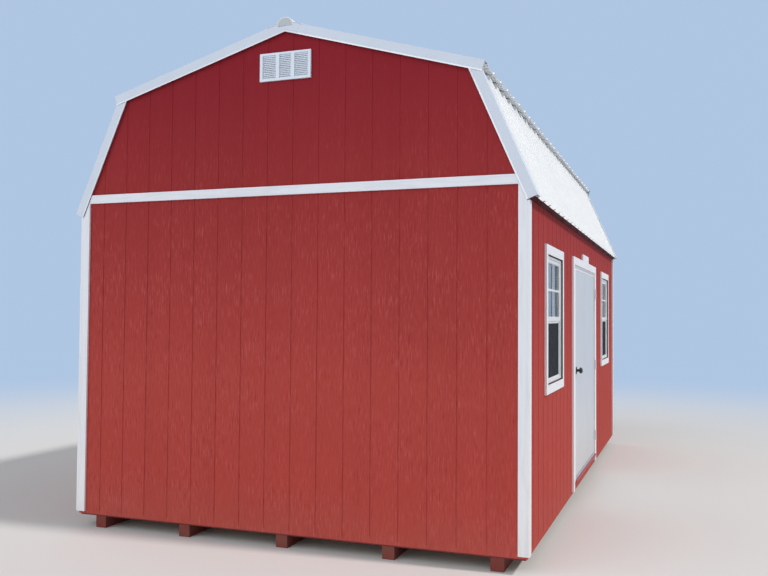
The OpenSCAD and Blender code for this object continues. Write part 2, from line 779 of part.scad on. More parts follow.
module door_trim() { color(white) on_right() door_trim_boards(); }
module door_frame() { color(white) on_right() door_jambs(); }
module door_threshold() { color(steel) on_right() threshold(); }
module frame_hinges() { color(steel) on_right() for (z = hinge_zs) frame_hinge(z); }
module door_leaf() { color(white) on_right() leaf(); }
module door_hinges() { color(steel) on_right() for (z = hinge_zs) door_hinge(z); }

module knob_roses() {
    color(black) on_right() on_knob() {
        translate([0, leaf_out, 0]) rotate([-90, 0, 0]) rose();
        translate([0, leaf_in, 0]) rotate([90, 0, 0]) rose();
    }
}

module door_knob() {
    color(black) on_right() on_knob() {
        translate([0, leaf_out, 0]) rotate([-90, 0, 0]) knob();
        translate([0, leaf_in, 0]) rotate([90, 0, 0]) knob();
    }
}

skids();
floor_joists();
floor_deck();
front_siding();
front_gable_siding();
back_siding();
back_gable_siding();
left_siding();
right_siding_front();
right_siding_door_bay();
right_siding_back();
front_wall_frame();
back_wall_frame();
left_wall_frame();
right_wall_frame();
left_rafters();
right_rafters();
left_roof_deck();
right_roof_deck();
left_lower_roof();
left_upper_roof();
right_upper_roof();
right_lower_roof();
ridge_cap();
front_rake_trim();
back_rake_trim();
left_eave_board();
right_eave_board();
front_left_corner_trim();
front_right_corner_trim();
back_left_corner_trim();
back_right_corner_trim();
front_band();
back_band();
front_vent();
back_vent();
window_trims();
front_window();
rear_window();
front_window_glass();
rear_window_glass();
door_trim();
door_frame();
door_threshold();
frame_hinges();
door_leaf();
door_hinges();
knob_roses();
door_knob();
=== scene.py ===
"""Finishes and small fittings of a portable gambrel barn, laid out as an add-on and run as a script."""
import json
import math
from functools import partialmethod

import bmesh
import bpy
from bpy.props import FloatProperty, FloatVectorProperty, IntProperty, PointerProperty
from mathutils import Matrix, Vector


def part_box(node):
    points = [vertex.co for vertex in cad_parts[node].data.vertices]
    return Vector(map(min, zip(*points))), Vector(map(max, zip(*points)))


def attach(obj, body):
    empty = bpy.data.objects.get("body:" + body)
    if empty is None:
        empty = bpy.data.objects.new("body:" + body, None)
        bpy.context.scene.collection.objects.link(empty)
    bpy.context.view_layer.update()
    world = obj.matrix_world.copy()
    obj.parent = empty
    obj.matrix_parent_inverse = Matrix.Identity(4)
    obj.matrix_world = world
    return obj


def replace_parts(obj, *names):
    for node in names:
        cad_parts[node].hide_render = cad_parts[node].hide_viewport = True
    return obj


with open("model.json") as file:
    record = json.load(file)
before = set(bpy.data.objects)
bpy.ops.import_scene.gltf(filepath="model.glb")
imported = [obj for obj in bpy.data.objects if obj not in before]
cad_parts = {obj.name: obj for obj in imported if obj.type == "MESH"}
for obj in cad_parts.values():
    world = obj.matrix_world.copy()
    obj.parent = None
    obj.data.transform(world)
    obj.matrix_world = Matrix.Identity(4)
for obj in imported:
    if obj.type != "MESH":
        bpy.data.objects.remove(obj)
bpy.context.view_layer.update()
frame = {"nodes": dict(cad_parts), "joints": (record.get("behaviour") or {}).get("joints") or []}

bl_info = {
    "name": "Gambrel Barn Finishes",
    "version": (1, 0, 0),
    "blender": (4, 5, 0),
    "location": "View3D > Sidebar > Barn",
    "description": "Finishes, fasteners and small fittings of a portable gambrel barn",
    "category": "Object",
}

# Places taken from the frame, in metres
SIDE_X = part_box("right_siding_front")[1].x
END_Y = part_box("back_siding")[1].y
SIDING_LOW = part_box("front_siding")[0].z
PANEL_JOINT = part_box("front_siding")[1].z
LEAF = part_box("door_leaf")
LEAF_X = (LEAF[0].x + LEAF[1].x) / 2
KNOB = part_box("door_knob")
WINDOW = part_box("rear_window")
WINDOW_Y = (WINDOW[0].y + WINDOW[1].y) / 2
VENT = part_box("front_vent")
VENT_Z = (VENT[0].z + VENT[1].z) / 2
PIVOTS = {joint["name"]: Vector(joint["pos_m"]) for joint in frame["joints"]}
HINGE_Z = (0.397, 1.147, 1.897)
SASH_RAIL_Z = 1.648
STUD_PITCH = 0.4064
SIDING_THICKNESS = 0.011
TRIM_THICKNESS = 0.016
RAFTER_HALF = 0.019
GUSSET_BACK = RAFTER_HALF + 0.0002
GUSSET_FACE = GUSSET_BACK + 0.012

# Roof lines and ribs, as in the frame. A depth is measured below the outer line of a slope.
RIDGE_Z = 3.774
ROLL_Z = 3.737
KNEE_X = 1.414
LOWER_ANGLE = math.radians(66.3)
UPPER_ANGLE = math.radians(16.26)
KNEE_Z = RIDGE_Z - KNEE_X * math.tan(UPPER_ANGLE)
EAVE_X = 1.8195
RIB_DEPTH = 0.002
PAN_DEPTH = 0.019
RAFTER_DEPTH = 0.032
INNER_DEPTH = 0.121
RIB_PITCH = 0.2286
RIB_COUNT = 13
SMALL_RIB_OFFSET = 0.038

# Where the sheets start and end, down their slopes from the roof break
LOWER_SHEET = (0.027, (EAVE_X - KNEE_X) / math.cos(LOWER_ANGLE))
UPPER_SHEET = (0.008 - KNEE_X / math.cos(UPPER_ANGLE), 0.060)

LAMP_DISTANCE = 12.0

# Each wall's direction along it, direction outwards and distance of its siding face
GABLES = ("front", "back")
WALLS = {
    "front": (Vector((1, 0, 0)), Vector((0, -1, 0)), END_Y),
    "back": (Vector((1, 0, 0)), Vector((0, 1, 0)), END_Y),
    "left": (Vector((0, 1, 0)), Vector((-1, 0, 0)), SIDE_X),
    "right": (Vector((0, 1, 0)), Vector((1, 0, 0)), SIDE_X),
}


# Places on the building

def on_wall(wall, along, up, proud=0.0):
    """A point on a wall's face and the direction out of the wall."""
    across, out, face = WALLS[wall]
    return across * along + Vector((0, 0, up)) + out * (face + proud), out


def slope(side, angle):
    """Matrix of a roof slope from the roof break: X down the slope, Y along the eave, Z outwards."""
    down = Vector((side * math.cos(angle), 0.0, -math.sin(angle)))
    out = Vector((side * math.sin(angle), 0.0, math.cos(angle)))
    turn = Matrix((down, out.cross(down), out)).transposed().to_4x4()
    return Matrix.Translation((side * KNEE_X, 0.0, KNEE_Z)) @ turn


def on_slope(side, angle, down, along, depth):
    """A point at a depth below a roof slope's line and the direction out of the slope."""
    place = slope(side, angle)
    return place @ Vector((down, along, -depth)), place.to_3x3() @ Vector((0, 0, 1))


def upper_z(x, depth):
    return RIDGE_Z - depth / math.cos(UPPER_ANGLE) - abs(x) * math.tan(UPPER_ANGLE)


def lower_z(x, depth):
    return KNEE_Z - (depth + math.sin(LOWER_ANGLE) * (abs(x) - KNEE_X)) / math.cos(LOWER_ANGLE)


def spread(start, end, step):
    """Numbers from start to end at about one step, ends included."""
    count = max(1, round((end - start) / step))
    return [start + (end - start) * i / count for i in range(count + 1)]


# Node trees

class Output:
    """A node's output. Arithmetic on it and its methods add the next node and return that one's output."""

    def __init__(self, socket):
        self.socket = socket

    def __getitem__(self, key):
        """Another output of the same node."""
        return Output(self.socket.node.outputs[key])

    def add(self, kind, inputs=None, **settings):
        """Any node in the same tree. An input is given a value or another node's output."""
        tree = self.socket.id_data
        node = tree.nodes.new(kind)
        for name, value in settings.items():
            setattr(node, name, value)
        for key, value in (inputs or {}).items():
            if isinstance(value, Output):
                tree.links.new(value.socket, node.inputs[key])
            else:
                node.inputs[key].default_value = value
        return Output(node.outputs[0])

    def into(self, target):
        """Links this output to a socket."""
        self.socket.id_data.links.new(self.socket, target)

    def calc(self, operation, *others):
        """A Math node on this number and others."""
        return self.add("ShaderNodeMath", dict(enumerate((self, *others))), operation=operation)

    __add__ = partialmethod(calc, "ADD")
    __sub__ = partialmethod(calc, "SUBTRACT")
    __mul__ = partialmethod(calc, "MULTIPLY")
    __truediv__ = partialmethod(calc, "DIVIDE")
    __gt__ = partialmethod(calc, "GREATER_THAN")
    __lt__ = partialmethod(calc, "LESS_THAN")
    __abs__ = partialmethod(calc, "ABSOLUTE")

    def __rsub__(self, other):
        return self.add("ShaderNodeMath", {0: other, 1: self}, operation="SUBTRACT")

    def ranged(self, low, high, to_low=0.0, to_high=1.0, **settings):
        """This number carried from one range to another."""
        return self.add("ShaderNodeMapRange", {
            "Value": self, "From Min": low, "From Max": high, "To Min": to_low, "To Max": to_high},
            **settings)

    def blend(self, first, second, blend_type="MIX"):
        """Two colours blended by this factor."""
        return self.add("ShaderNodeMix", {0: self, 6: first, 7: second},
                        data_type="RGBA", blend_type=blend_type)[2]

    def scale(self, vector):
        """A vector or colour times this number."""
        given = vector if isinstance(vector, Output) else vector[:3]
        return self.add("ShaderNodeVectorMath", {0: given, "Scale": self}, operation="SCALE")

    def axis(self, name):
        """One axis of this vector."""
        return self.add("ShaderNodeSeparateXYZ", {0: self})[name]

    def vector(self, x=0.0, y=0.0, z=0.0):
        """A vector of three numbers or outputs, in the same tree."""
        return self.add("ShaderNodeCombineXYZ", {0: x, 1: y, 2: z})

    def stretched(self, scale):
        return self.add("ShaderNodeMapping", {"Vector": self, "Scale": scale})

    def length(self):
        return self.add("ShaderNodeVectorMath", {0: self}, operation="LENGTH")["Value"]

    def noise(self, scale, detail=2.0, roughness=0.5):
        """Noise at this place."""
        return self.add("ShaderNodeTexNoise", {
            "Vector": self, "Scale": scale, "Detail": detail, "Roughness": roughness})

    def group(self, name, inputs=None):
        """A shared effect at this place."""
        return self.add("ShaderNodeGroup", {"Vector": self, **(inputs or {})},
                        node_tree=bpy.data.node_groups[name])

    def bump(self, sockets, distance, strength):
        """Raises a shader's surface by this height."""
        self.add("ShaderNodeBump", {
            "Strength": strength, "Distance": distance, "Height": self}).into(sockets["Normal"])


def new_group(name, kind, inputs, outputs):
    """A node group. A socket's type follows its name or its default. Returns its inputs and its result."""
    def socket_type(label, default):
        if label in ("Vector", "Geometry", "Material"):
            return "NodeSocket" + label
        if label == "Color" or isinstance(default, tuple):
            return "NodeSocketColor"
        return "NodeSocketInt" if isinstance(default, int) else "NodeSocketFloat"

    tree = bpy.data.node_groups.new(name, kind)
    for label, default in inputs.items():
        socket = tree.interface.new_socket(label, in_out="INPUT", socket_type=socket_type(label, default))
        if default is not None:
            socket.default_value = default
    for label in outputs:
        tree.interface.new_socket(label, in_out="OUTPUT", socket_type=socket_type(label, 0.0))
    given = Output(tree.nodes.new("NodeGroupInput").outputs[0])
    return given, tree.nodes.new("NodeGroupOutput").inputs


def rgba(color, shade=1.0):
    return (color[0] * shade, color[1] * shade, color[2] * shade, 1.0)


# Shared effects

def build_grain_group():
    """Flat-sawn grain that runs along the vector's Z: contour rings and fine streaks."""
    given, result = new_group("Flat Sawn Grain", "ShaderNodeTree", {
        "Vector": None, "Density": 9.0, "Rings": 7.0}, ["Grain"])
    spaced = given["Density"].scale(given["Vector"])
    contour = spaced.stretched((0.9, 0.9, 0.11)).noise(1.0, 1.5, 0.4)
    waves = (contour * given["Rings"] * 6.2832).calc("SINE")
    fine = spaced.stretched((14.0, 14.0, 0.5)).noise(1.0, 3.0, 0.6)
    (waves.ranged(-0.2, 1.0) * 0.4 + fine * 0.6).into(result["Grain"])


def build_sawn_group():
    """Embossed saw texture of siding: short upright flecks, which take a painted glint where used, and
    hollows, which take painted shade, over finer streaks, in patches.
    """
    given, result = new_group("Sawn Texture", "ShaderNodeTree", {
        "Vector": None, "Width": 170.0, "Length": 9.0}, ["Flecks", "Hollows", "Height"])
    x, y, z = (given["Vector"].axis(name) for name in "XYZ")
    wide, long = given["Width"], z * given["Length"]
    broad = wide * 0.55
    fine = given.vector(x * wide, y * wide, long).noise(1.0, 2.5, 0.6)
    coarse = given.vector(x * broad, y * broad, long * 1.3).noise(1.0, 2.0, 0.6)
    patches = given["Vector"].noise(3.4, 3.0, 0.6).ranged(0.36, 0.64, 0.40, 1.12)
    raised = coarse.ranged(0.54, 0.70) + fine.ranged(0.52, 0.70) * 0.5
    (raised * patches).into(result["Flecks"])
    (coarse.ranged(0.45, 0.30) * patches).into(result["Hollows"])
    (fine * 0.6 + coarse * 0.4).into(result["Height"])


def build_weather_group():
    """Dust thrown up from the ground and faint run-off streaks on an upright face."""
    given, result = new_group("Weathering", "ShaderNodeTree", {
        "Vector": None, "Color": (0.8, 0.8, 0.8, 1.0), "Dust Color": (0.42, 0.34, 0.26, 1.0),
        "Dust Height": 0.45, "Dust Amount": 0.4, "Streaks": 0.12}, ["Color", "Dust"])
    place = given["Vector"]
    low = place.axis("Z").ranged(given["Dust Height"], SIDING_LOW)
    patchy = place.noise(3.5, 4.0, 0.65).ranged(0.3, 0.7, 0.35, 1.0)
    dust = low.calc("POWER", 1.6) * patchy * given["Dust Amount"]
    runs = place.stretched((9.0, 9.0, 0.35)).noise(1.0, 3.0, 0.6)
    tone = (runs - 0.5) + (place.noise(0.8) - 0.5)
    streaked = (tone * given["Streaks"] + 1.0).scale(given["Color"])
    dust.blend(streaked, given["Dust Color"]).into(result["Color"])
    dust.into(result["Dust"])


def build_sheet_group():
    """Slight waves and shallow dents of thin painted sheet."""
    given, result = new_group("Thin Sheet", "ShaderNodeTree", {
        "Vector": None, "Wave Scale": 2.2, "Dents": 0.3}, ["Height", "Film"])
    place = given["Vector"]
    hollow = place.add("ShaderNodeTexVoronoi", {"Vector": place, "Scale": 7.0, "Smoothness": 0.8},
                       feature="SMOOTH_F1")
    (place.noise(given["Wave Scale"], 1.5, 0.4) + hollow * given["Dents"]).into(result["Height"])
    place.noise(5.0, 5.0, 0.7).into(result["Film"])


def build_strand_group():
    """Pressed strands of a sheathing board, in two crossing layers."""
    given, result = new_group("Board Strands", "ShaderNodeTree", {
        "Vector": None, "Light": (0.62, 0.42, 0.22, 1.0), "Dark": (0.36, 0.22, 0.10, 1.0)},
        ["Color", "Height"])
    place = given["Vector"]
    layers = []
    for scale in ((9.0, 34.0, 12.0), (34.0, 9.0, 40.0)):
        cells = place.add("ShaderNodeTexVoronoi", {"Vector": place.stretched(scale), "Scale": 1.0})
        layers.append(place.add("ShaderNodeSeparateColor", {0: cells["Color"]}))
    which = place.noise(13.0) > 0.5
    tone = layers[0] * which + layers[1] * (1.0 - which)
    tone.blend(given["Dark"], given["Light"]).into(result["Color"])
    tone.into(result["Height"])


def build_depth_group():
    """Mask of what lies deeper than a distance behind the siding's outer faces."""
    given, result = new_group("Behind Face", "ShaderNodeTree", {"Vector": None, "Depth": 0.006}, ["Mask"])
    sides, ends = (abs(given["Vector"].axis(name)) < limit - given["Depth"]
                   for name, limit in (("X", SIDE_X), ("Y", END_Y)))
    (sides * ends).into(result["Mask"])


# Materials

def blank_material(name, roughness=0.5, metallic=0.0):
    """A Principled material. Returns it with the shader's inputs and the Object coordinates."""
    material = bpy.data.materials.new(name)
    material.use_nodes = True
    nodes = material.node_tree.nodes
    sockets = nodes["Principled BSDF"].inputs
    sockets["Roughness"].default_value = roughness
    sockets["Metallic"].default_value = metallic
    return material, sockets, Output(nodes.new("ShaderNodeTexCoord").outputs["Object"])


def siding_material(paint):
    """Satin paint on embossed panel siding, bare pressed board on the inner face."""
    material, sockets, place = blank_material("Siding paint")
    sawn = place.group("Sawn Texture")
    height = place.axis("Z")
    # The red grows lighter towards the ground: painted light, as if bounced up from the floor.
    color = height.ranged(3.5, 1.2).blend(rgba(paint.siding_red), rgba(paint.siding_bounce_lit))
    marks_by_height = height.ranged(3.2, 1.9)
    # Lighter flecks on the raised grain hold their tone and a painted glint; darker hollows hold their tone
    # and painted shade. Both grow stronger lower down the wall.
    for mark, most, shown in (("Flecks", 0.46, paint.siding_fleck_glint), ("Hollows", 0.45, paint.siding_red)):
        color = (sawn[mark] * marks_by_height.ranged(0.0, 1.0, 0.06, most)).blend(color, rgba(shown))
    # Grooves are painted lighter high on the wall and a little darker low down: painted light and painted
    # shade in them.
    groove_painted_light = place.group("Behind Face", {"Depth": 0.0014})
    color = (groove_painted_light * height.ranged(1.6, 3.0, -0.03, 0.14) + 1.0).scale(color)
    # Dust and run-off streaks over the colour, which already holds painted light and shade.
    dust_and_painted_light = place.group("Weathering", {
        "Color": color, "Dust Color": rgba(paint.dust), "Dust Height": 0.5, "Dust Amount": 0.10,
        "Streaks": 0.14})
    board = place.group("Board Strands", {"Light": rgba(paint.board_light), "Dark": rgba(paint.board_dark)})
    place.group("Behind Face", {"Depth": 0.006}).blend(dust_and_painted_light, board).into(sockets["Base Color"])
    (sawn["Height"].ranged(0.3, 0.7, 0.66, 0.80) + dust_and_painted_light["Dust"] * 0.4).into(sockets["Roughness"])
    sockets["Specular IOR Level"].default_value = 0.06
    sawn["Height"].bump(sockets, 0.0009, 0.7)
    return material


def board_paint_material(name, color, paint, dust_amount=0.12, upright=(-9.0, 9.0), shaded_edges=None,
                         gloss=0.25):
    """Brushed paint on solid boards: upright ones between two heights, level ones above and below. Inside a
    rectangle, given as middle, half width, low and high, the boards' inner edges are dark grey: painted
    shade."""
    material, sockets, place = blank_material(name)
    x, y, z = (place.axis(axis) for axis in "XYZ")
    standing = (z > upright[0]) * (z < upright[1])
    along = place.add("ShaderNodeMix", {0: standing, 4: place.vector(z, z, x + y), 5: place},
                      data_type="VECTOR")[1]
    grain = along.group("Flat Sawn Grain", {"Density": 16.0, "Rings": 4.0})
    shown = place.group("Weathering", {
        "Color": grain.ranged(0.35, 0.75, 0.0, 0.2).blend(rgba(color), rgba(color, 0.72)),
        "Dust Color": rgba(paint.dust), "Dust Height": 0.42, "Dust Amount": dust_amount, "Streaks": 0.06})
    if shaded_edges:
        middle, half, low, high = shaded_edges
        # Painted shade: the boards' inner edges round the window are dark grey.
        within = (abs(abs(y) - middle) < half) * ((z > low) * (z < high))
        shown = within.blend(shown, rgba(paint.edge_shade))
    shown.into(sockets["Base Color"])
    grain.ranged(0.3, 0.8, 0.48, 0.62).into(sockets["Roughness"])
    sockets["Specular IOR Level"].default_value = gloss
    grain.bump(sockets, 0.0007, 0.7)
    return material


def sheet_material(name, color, waves, dents, roughness=0.46, lip_highlight=None, shaded_ends=False):
    """Factory paint on thin steel sheet. A folded trim's lip and laps are lighter than its face, a painted
    highlight, and the discs that close the ends of the ridge roll are darker than its rim, painted shade."""
    lip_face, roll_end, roll_radius = END_Y + 0.0218, 3.0693, 0.058
    material, sockets, place = blank_material(name)
    sheet = place.group("Thin Sheet", {"Wave Scale": waves, "Dents": dents})
    reach = abs(place.axis("Y"))
    color_and_painted_light = rgba(color)
    # Painted highlight: the lip and laps lighter than the trim's face.
    if lip_highlight:
        color_and_painted_light = (reach > lip_face).blend(color_and_painted_light, rgba(lip_highlight))
    # Painted shade: the discs that close the roll's ends are darker than its rim.
    if shaded_ends:
        centred = place.add("ShaderNodeVectorMath", {0: place, 1: (0.0, 0.0, ROLL_Z)}, operation="SUBTRACT")
        level = place.add("ShaderNodeVectorMath", {0: centred, 1: (1.0, 0.0, 1.0)}, operation="MULTIPLY")
        disc = (reach > roll_end) * (level.length() < roll_radius)
        color_and_painted_light = disc.blend(color_and_painted_light, rgba(color, 0.66))
    place.group("Weathering", {
        "Color": sheet["Film"].ranged(0.5, 0.85, 1.0, 0.956).scale(color_and_painted_light), "Dust Height": 0.12,
        "Dust Amount": 0.0, "Streaks": 0.05}).into(sockets["Base Color"])
    sheet["Film"].ranged(0.2, 0.8, roughness - 0.06, roughness + 0.14).into(sockets["Roughness"])
    sockets["Specular IOR Level"].default_value = 0.16
    sheet["Height"].bump(sockets, 0.006, 0.5)
    return material


def timber_material(paint):
    """Bare framing lumber, its grain upright as most pieces stand. The floor frame's rim is painted."""
    material, sockets, place = blank_material("Framing lumber", 0.72)
    grain = place.group("Flat Sawn Grain", {"Density": 22.0, "Rings": 5.0})
    streaked = grain.ranged(0.25, 0.85).blend(rgba(paint.lumber_light), rgba(paint.lumber_dark))
    piece = place.stretched((2.6, 2.6, 0.02)).noise(1.0, 0.0).ranged(0.35, 0.65, 0.0, 0.3)
    toned = piece.blend(streaked, rgba(paint.lumber_dark), "MULTIPLY")
    rim = (place.axis("Z") < 0.12) * (1.0 - place.group("Behind Face", {"Depth": 0.016}))
    rim.blend(toned, rgba(paint.runner_red)).into(sockets["Base Color"])
    grain.bump(sockets, 0.0006, 0.6)
    return material


def strand_board_material(paint):
    material, sockets, place = blank_material("Strand board", 0.7)
    board = place.group("Board Strands", {"Light": rgba(paint.board_light), "Dark": rgba(paint.board_dark)})
    board.into(sockets["Base Color"])
    board["Height"].bump(sockets, 0.0007, 0.6)
    return material


def glass_material():
    material, sockets, place = blank_material("Window glass")
    sockets["Base Color"].default_value = (0.86, 0.92, 0.92, 1.0)
    sockets["Transmission Weight"].default_value = 1.0
    sockets["IOR"].default_value = 1.45
    place.noise(2.0, 1.0).bump(sockets, 0.004, 0.15)
    place.noise(6.0, 5.0, 0.7).ranged(0.4, 0.9, 0.015, 0.09).into(sockets["Roughness"])
    return material


def door_material(paint):
    """Smooth sprayed door skin with slight orange peel."""
    material, sockets, place = blank_material("Door paint")
    # Painted shade: the leaf's white is greyed and blued.
    place.group("Weathering", {
        "Color": rgba(paint.door_shaded_white), "Dust Color": rgba(paint.dust), "Dust Height": 0.55,
        "Dust Amount": 0.22, "Streaks": 0.05}).into(sockets["Base Color"])
    soft = place.noise(3.0, 1.0)
    (place.noise(420.0) * 0.03 + soft).bump(sockets, 0.004, 0.5)
    soft.ranged(0.3, 0.7, 0.30, 0.42).into(sockets["Roughness"])
    return material


def mottled_material(name, color, pattern, tint, roughness, bump, metallic=0.0):
    """One colour broken up by a shade of itself. A noise, given as its stretch, scale and detail, drives the
    colour (shade, its low end and its share), the roughness (from low to high) and the bump."""
    material, sockets, place = blank_material(name, metallic=metallic)
    stretch, scale, detail = pattern
    shade, start, share = tint
    marks = (place.stretched(stretch) if stretch else place).noise(scale, detail, 0.6)
    marks.ranged(start, 0.8, 0.0, share).blend(rgba(color), rgba(color, shade)).into(sockets["Base Color"])
    marks.ranged(*roughness).into(sockets["Roughness"])
    marks.bump(sockets, *bump)
    return material


def vinyl_material(name, color):
    return mottled_material(name, color, (None, 9.0, 4.0), (0.76, 0.45, 0.14), (0.2, 0.8, 0.32, 0.46),
                            (0.0004, 0.4))


def bare_metal_material(name, color, roughness, brushed=(1.0, 90.0, 90.0)):
    return mottled_material(name, color, (brushed, 8.0, 3.0), (0.6, 0.3, 0.35),
                            (0.2, 0.8, roughness - 0.08, roughness + 0.12), (0.0002, 0.5), 1.0)


def rough_material(name, color, scale, roughness, depth, lighter=2.2):
    """Cast or foamed surface."""
    return mottled_material(name, color, (None, scale, 3.0), (lighter, 0.45, 0.5),
                            (0.3, 0.8, roughness - 0.08, roughness + 0.1), (depth, 0.5))


def threshold_material(paint):
    """Mill aluminium. Its outer nose, from inside the leaf's face outwards, is painted over with the wall."""
    material = bare_metal_material("Mill aluminium", (0.74, 0.74, 0.75), 0.44, (90.0, 1.0, 90.0))
    nodes = material.node_tree.nodes
    sockets = nodes["Principled BSDF"].inputs
    place = Output(nodes.new("ShaderNodeTexCoord").outputs["Object"])
    ragged = place.noise(60.0, 3.0).ranged(0.3, 0.7, -0.0008, 0.0008)
    nose = place.axis("X") + ragged > LEAF[1].x + 0.009
    bare = Output(sockets["Base Color"].links[0].from_socket)
    # The nose takes the wall's lower red, lighter with painted bounce light, at 0.8 of its strength.
    nose.blend(bare, rgba(paint.siding_bounce_lit, 0.8)).into(sockets["Base Color"])
    (1.0 - nose).into(sockets["Metallic"])
    return material


def dress(nodes, material):
    """Gives CAD nodes a finish through their material slots."""
    for name in nodes:
        for slot in frame["nodes"][name].material_slots:
            slot.material = material


# Pieces

def add_piece(name, mesh, material=None, body="building"):
    """Adds a mesh as a piece that rides on a body, with the given material in place of its own if one is
    given.
    """
    if material:
        mesh.materials.clear()
        mesh.materials.append(material)
    piece = bpy.data.objects.new(name, mesh)
    bpy.context.scene.collection.objects.link(piece)
    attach(piece, body)
    return piece


def grow(name, group, settings, places=None):
    """Runs a Geometry Nodes group, on places where it needs them, and returns the result as a plain mesh."""
    carrier = bpy.data.objects.new(name, points_mesh(places) if places else bpy.data.meshes.new(name))
    bpy.context.scene.collection.objects.link(carrier)
    modifier = carrier.modifiers.new("Build", "NODES")
    modifier.node_group = bpy.data.node_groups[group]
    for item in modifier.node_group.interface.items_tree:
        if item.in_out == "INPUT" and item.name in settings:
            modifier[item.identifier] = settings[item.name]
    depsgraph = bpy.context.evaluated_depsgraph_get()
    mesh = bpy.data.meshes.new_from_object(carrier.evaluated_get(depsgraph), depsgraph=depsgraph)
    carrier.modifiers.remove(modifier)
    bpy.data.objects.remove(carrier)
    mesh.name = name
    return mesh


def points_mesh(places):
    """A mesh of loose points that each hold the direction they face."""
    mesh = bpy.data.meshes.new("places")
    mesh.from_pydata([place for place, out in places], [], [])
    facing = mesh.attributes.new("out", "FLOAT_VECTOR", "POINT")
    facing.data.foreach_set("vector", [number for place, out in places for number in out])
    return mesh


def add_nails(name, places, fittings, paint, body="building", height=0.0008):
    """Flat heads at a list of places, in the material of what they hold."""
    sizes = {"Head Radius": fittings.nail_radius, "Head Height": height, "Material": paint}
    return add_piece(name, grow(name, "Nail Heads", sizes, places), body=body)


def add_screws(name, places, fittings, paint, scale=1.0):
    """Screw heads with washers at a list of places."""
    sizes = {"Head Radius": fittings.screw_radius, "Washer Radius": fittings.washer_radius,
             "Head Height": 0.0040, "Washer Height": 0.0022}
    sizes = {part: size * scale for part, size in sizes.items()}
    return add_piece(name, grow(name, "Washer Screws", {**sizes, "Material": paint}, places))


def add_cloth(name, size, spacing, wire, material, place):
    """A piece of wire cloth of a width and height, moved to its place."""
    mesh = grow(name, "Wire Cloth", {
        "Width": size[0], "Height": size[1], "Spacing": spacing, "Wire": wire, "Material": material})
    mesh.transform(place)
    return add_piece(name, mesh)


# Geometry Nodes trees

def joined(first, *others):
    join = first.add("GeometryNodeJoinGeometry", {0: first})
    for other in others:
        other.into(join.socket.node.inputs[0])
    return join


def finish_tree(geometry, given, result):
    real = geometry.add("GeometryNodeRealizeInstances", {0: geometry})
    real.add("GeometryNodeSetMaterial", {
        "Geometry": real, "Material": given["Material"]}).into(result["Geometry"])


def scatter(given, shape):
    """Sets a shape on every point, turned to face along the point's direction, with a random twist."""
    out = given.add("GeometryNodeInputNamedAttribute", {"Name": "out"}, data_type="FLOAT_VECTOR")
    facing = given.add("FunctionNodeAlignRotationToVector", {"Vector": out}, axis="Z")
    angle = given.add("FunctionNodeRandomValue", {2: 0.0, 3: 6.2832, "Seed": given["Seed"]})[1]
    twist = given.add("FunctionNodeAxisAngleToRotation", {"Axis": (0, 0, 1), "Angle": angle})
    turned = given.add("FunctionNodeRotateRotation", {"Rotation": facing, "Rotate By": twist},
                       rotation_space="LOCAL")
    return given.add("GeometryNodeInstanceOnPoints", {
        "Points": given["Geometry"], "Instance": shape, "Rotation": turned})


def frustum(given, part, sides, narrowing):
    """A low cone frustum, sized by the group's radius and height of that part."""
    radius = given[f"{part} Radius"]
    return given.add("GeometryNodeMeshCone", {
        "Vertices": sides, "Radius Bottom": radius, "Radius Top": radius * narrowing,
        "Depth": given[f"{part} Height"]})


def build_screw_tree():
    """Six-sided screw heads, each on a domed sealing washer."""
    given, result = new_group("Washer Screws", "GeometryNodeTree", {
        "Geometry": None, "Head Radius": 0.0045, "Head Height": 0.0040, "Washer Radius": 0.0078,
        "Washer Height": 0.0022, "Seed": 5, "Material": None}, ["Geometry"])
    lift = given.vector(z=given["Washer Height"])
    head = given.add("GeometryNodeTransform", {
        "Geometry": frustum(given, "Head", 6, 0.9), "Translation": lift})
    finish_tree(scatter(given, joined(frustum(given, "Washer", 12, 0.78), head)), given, result)


def build_nail_tree():
    """Flat nail heads with a rounded edge, driven nearly flush."""
    given, result = new_group("Nail Heads", "GeometryNodeTree", {
        "Geometry": None, "Head Radius": 0.0035, "Head Height": 0.0008, "Seed": 11, "Material": None},
        ["Geometry"])
    finish_tree(scatter(given, frustum(given, "Head", 8, 0.8)), given, result)


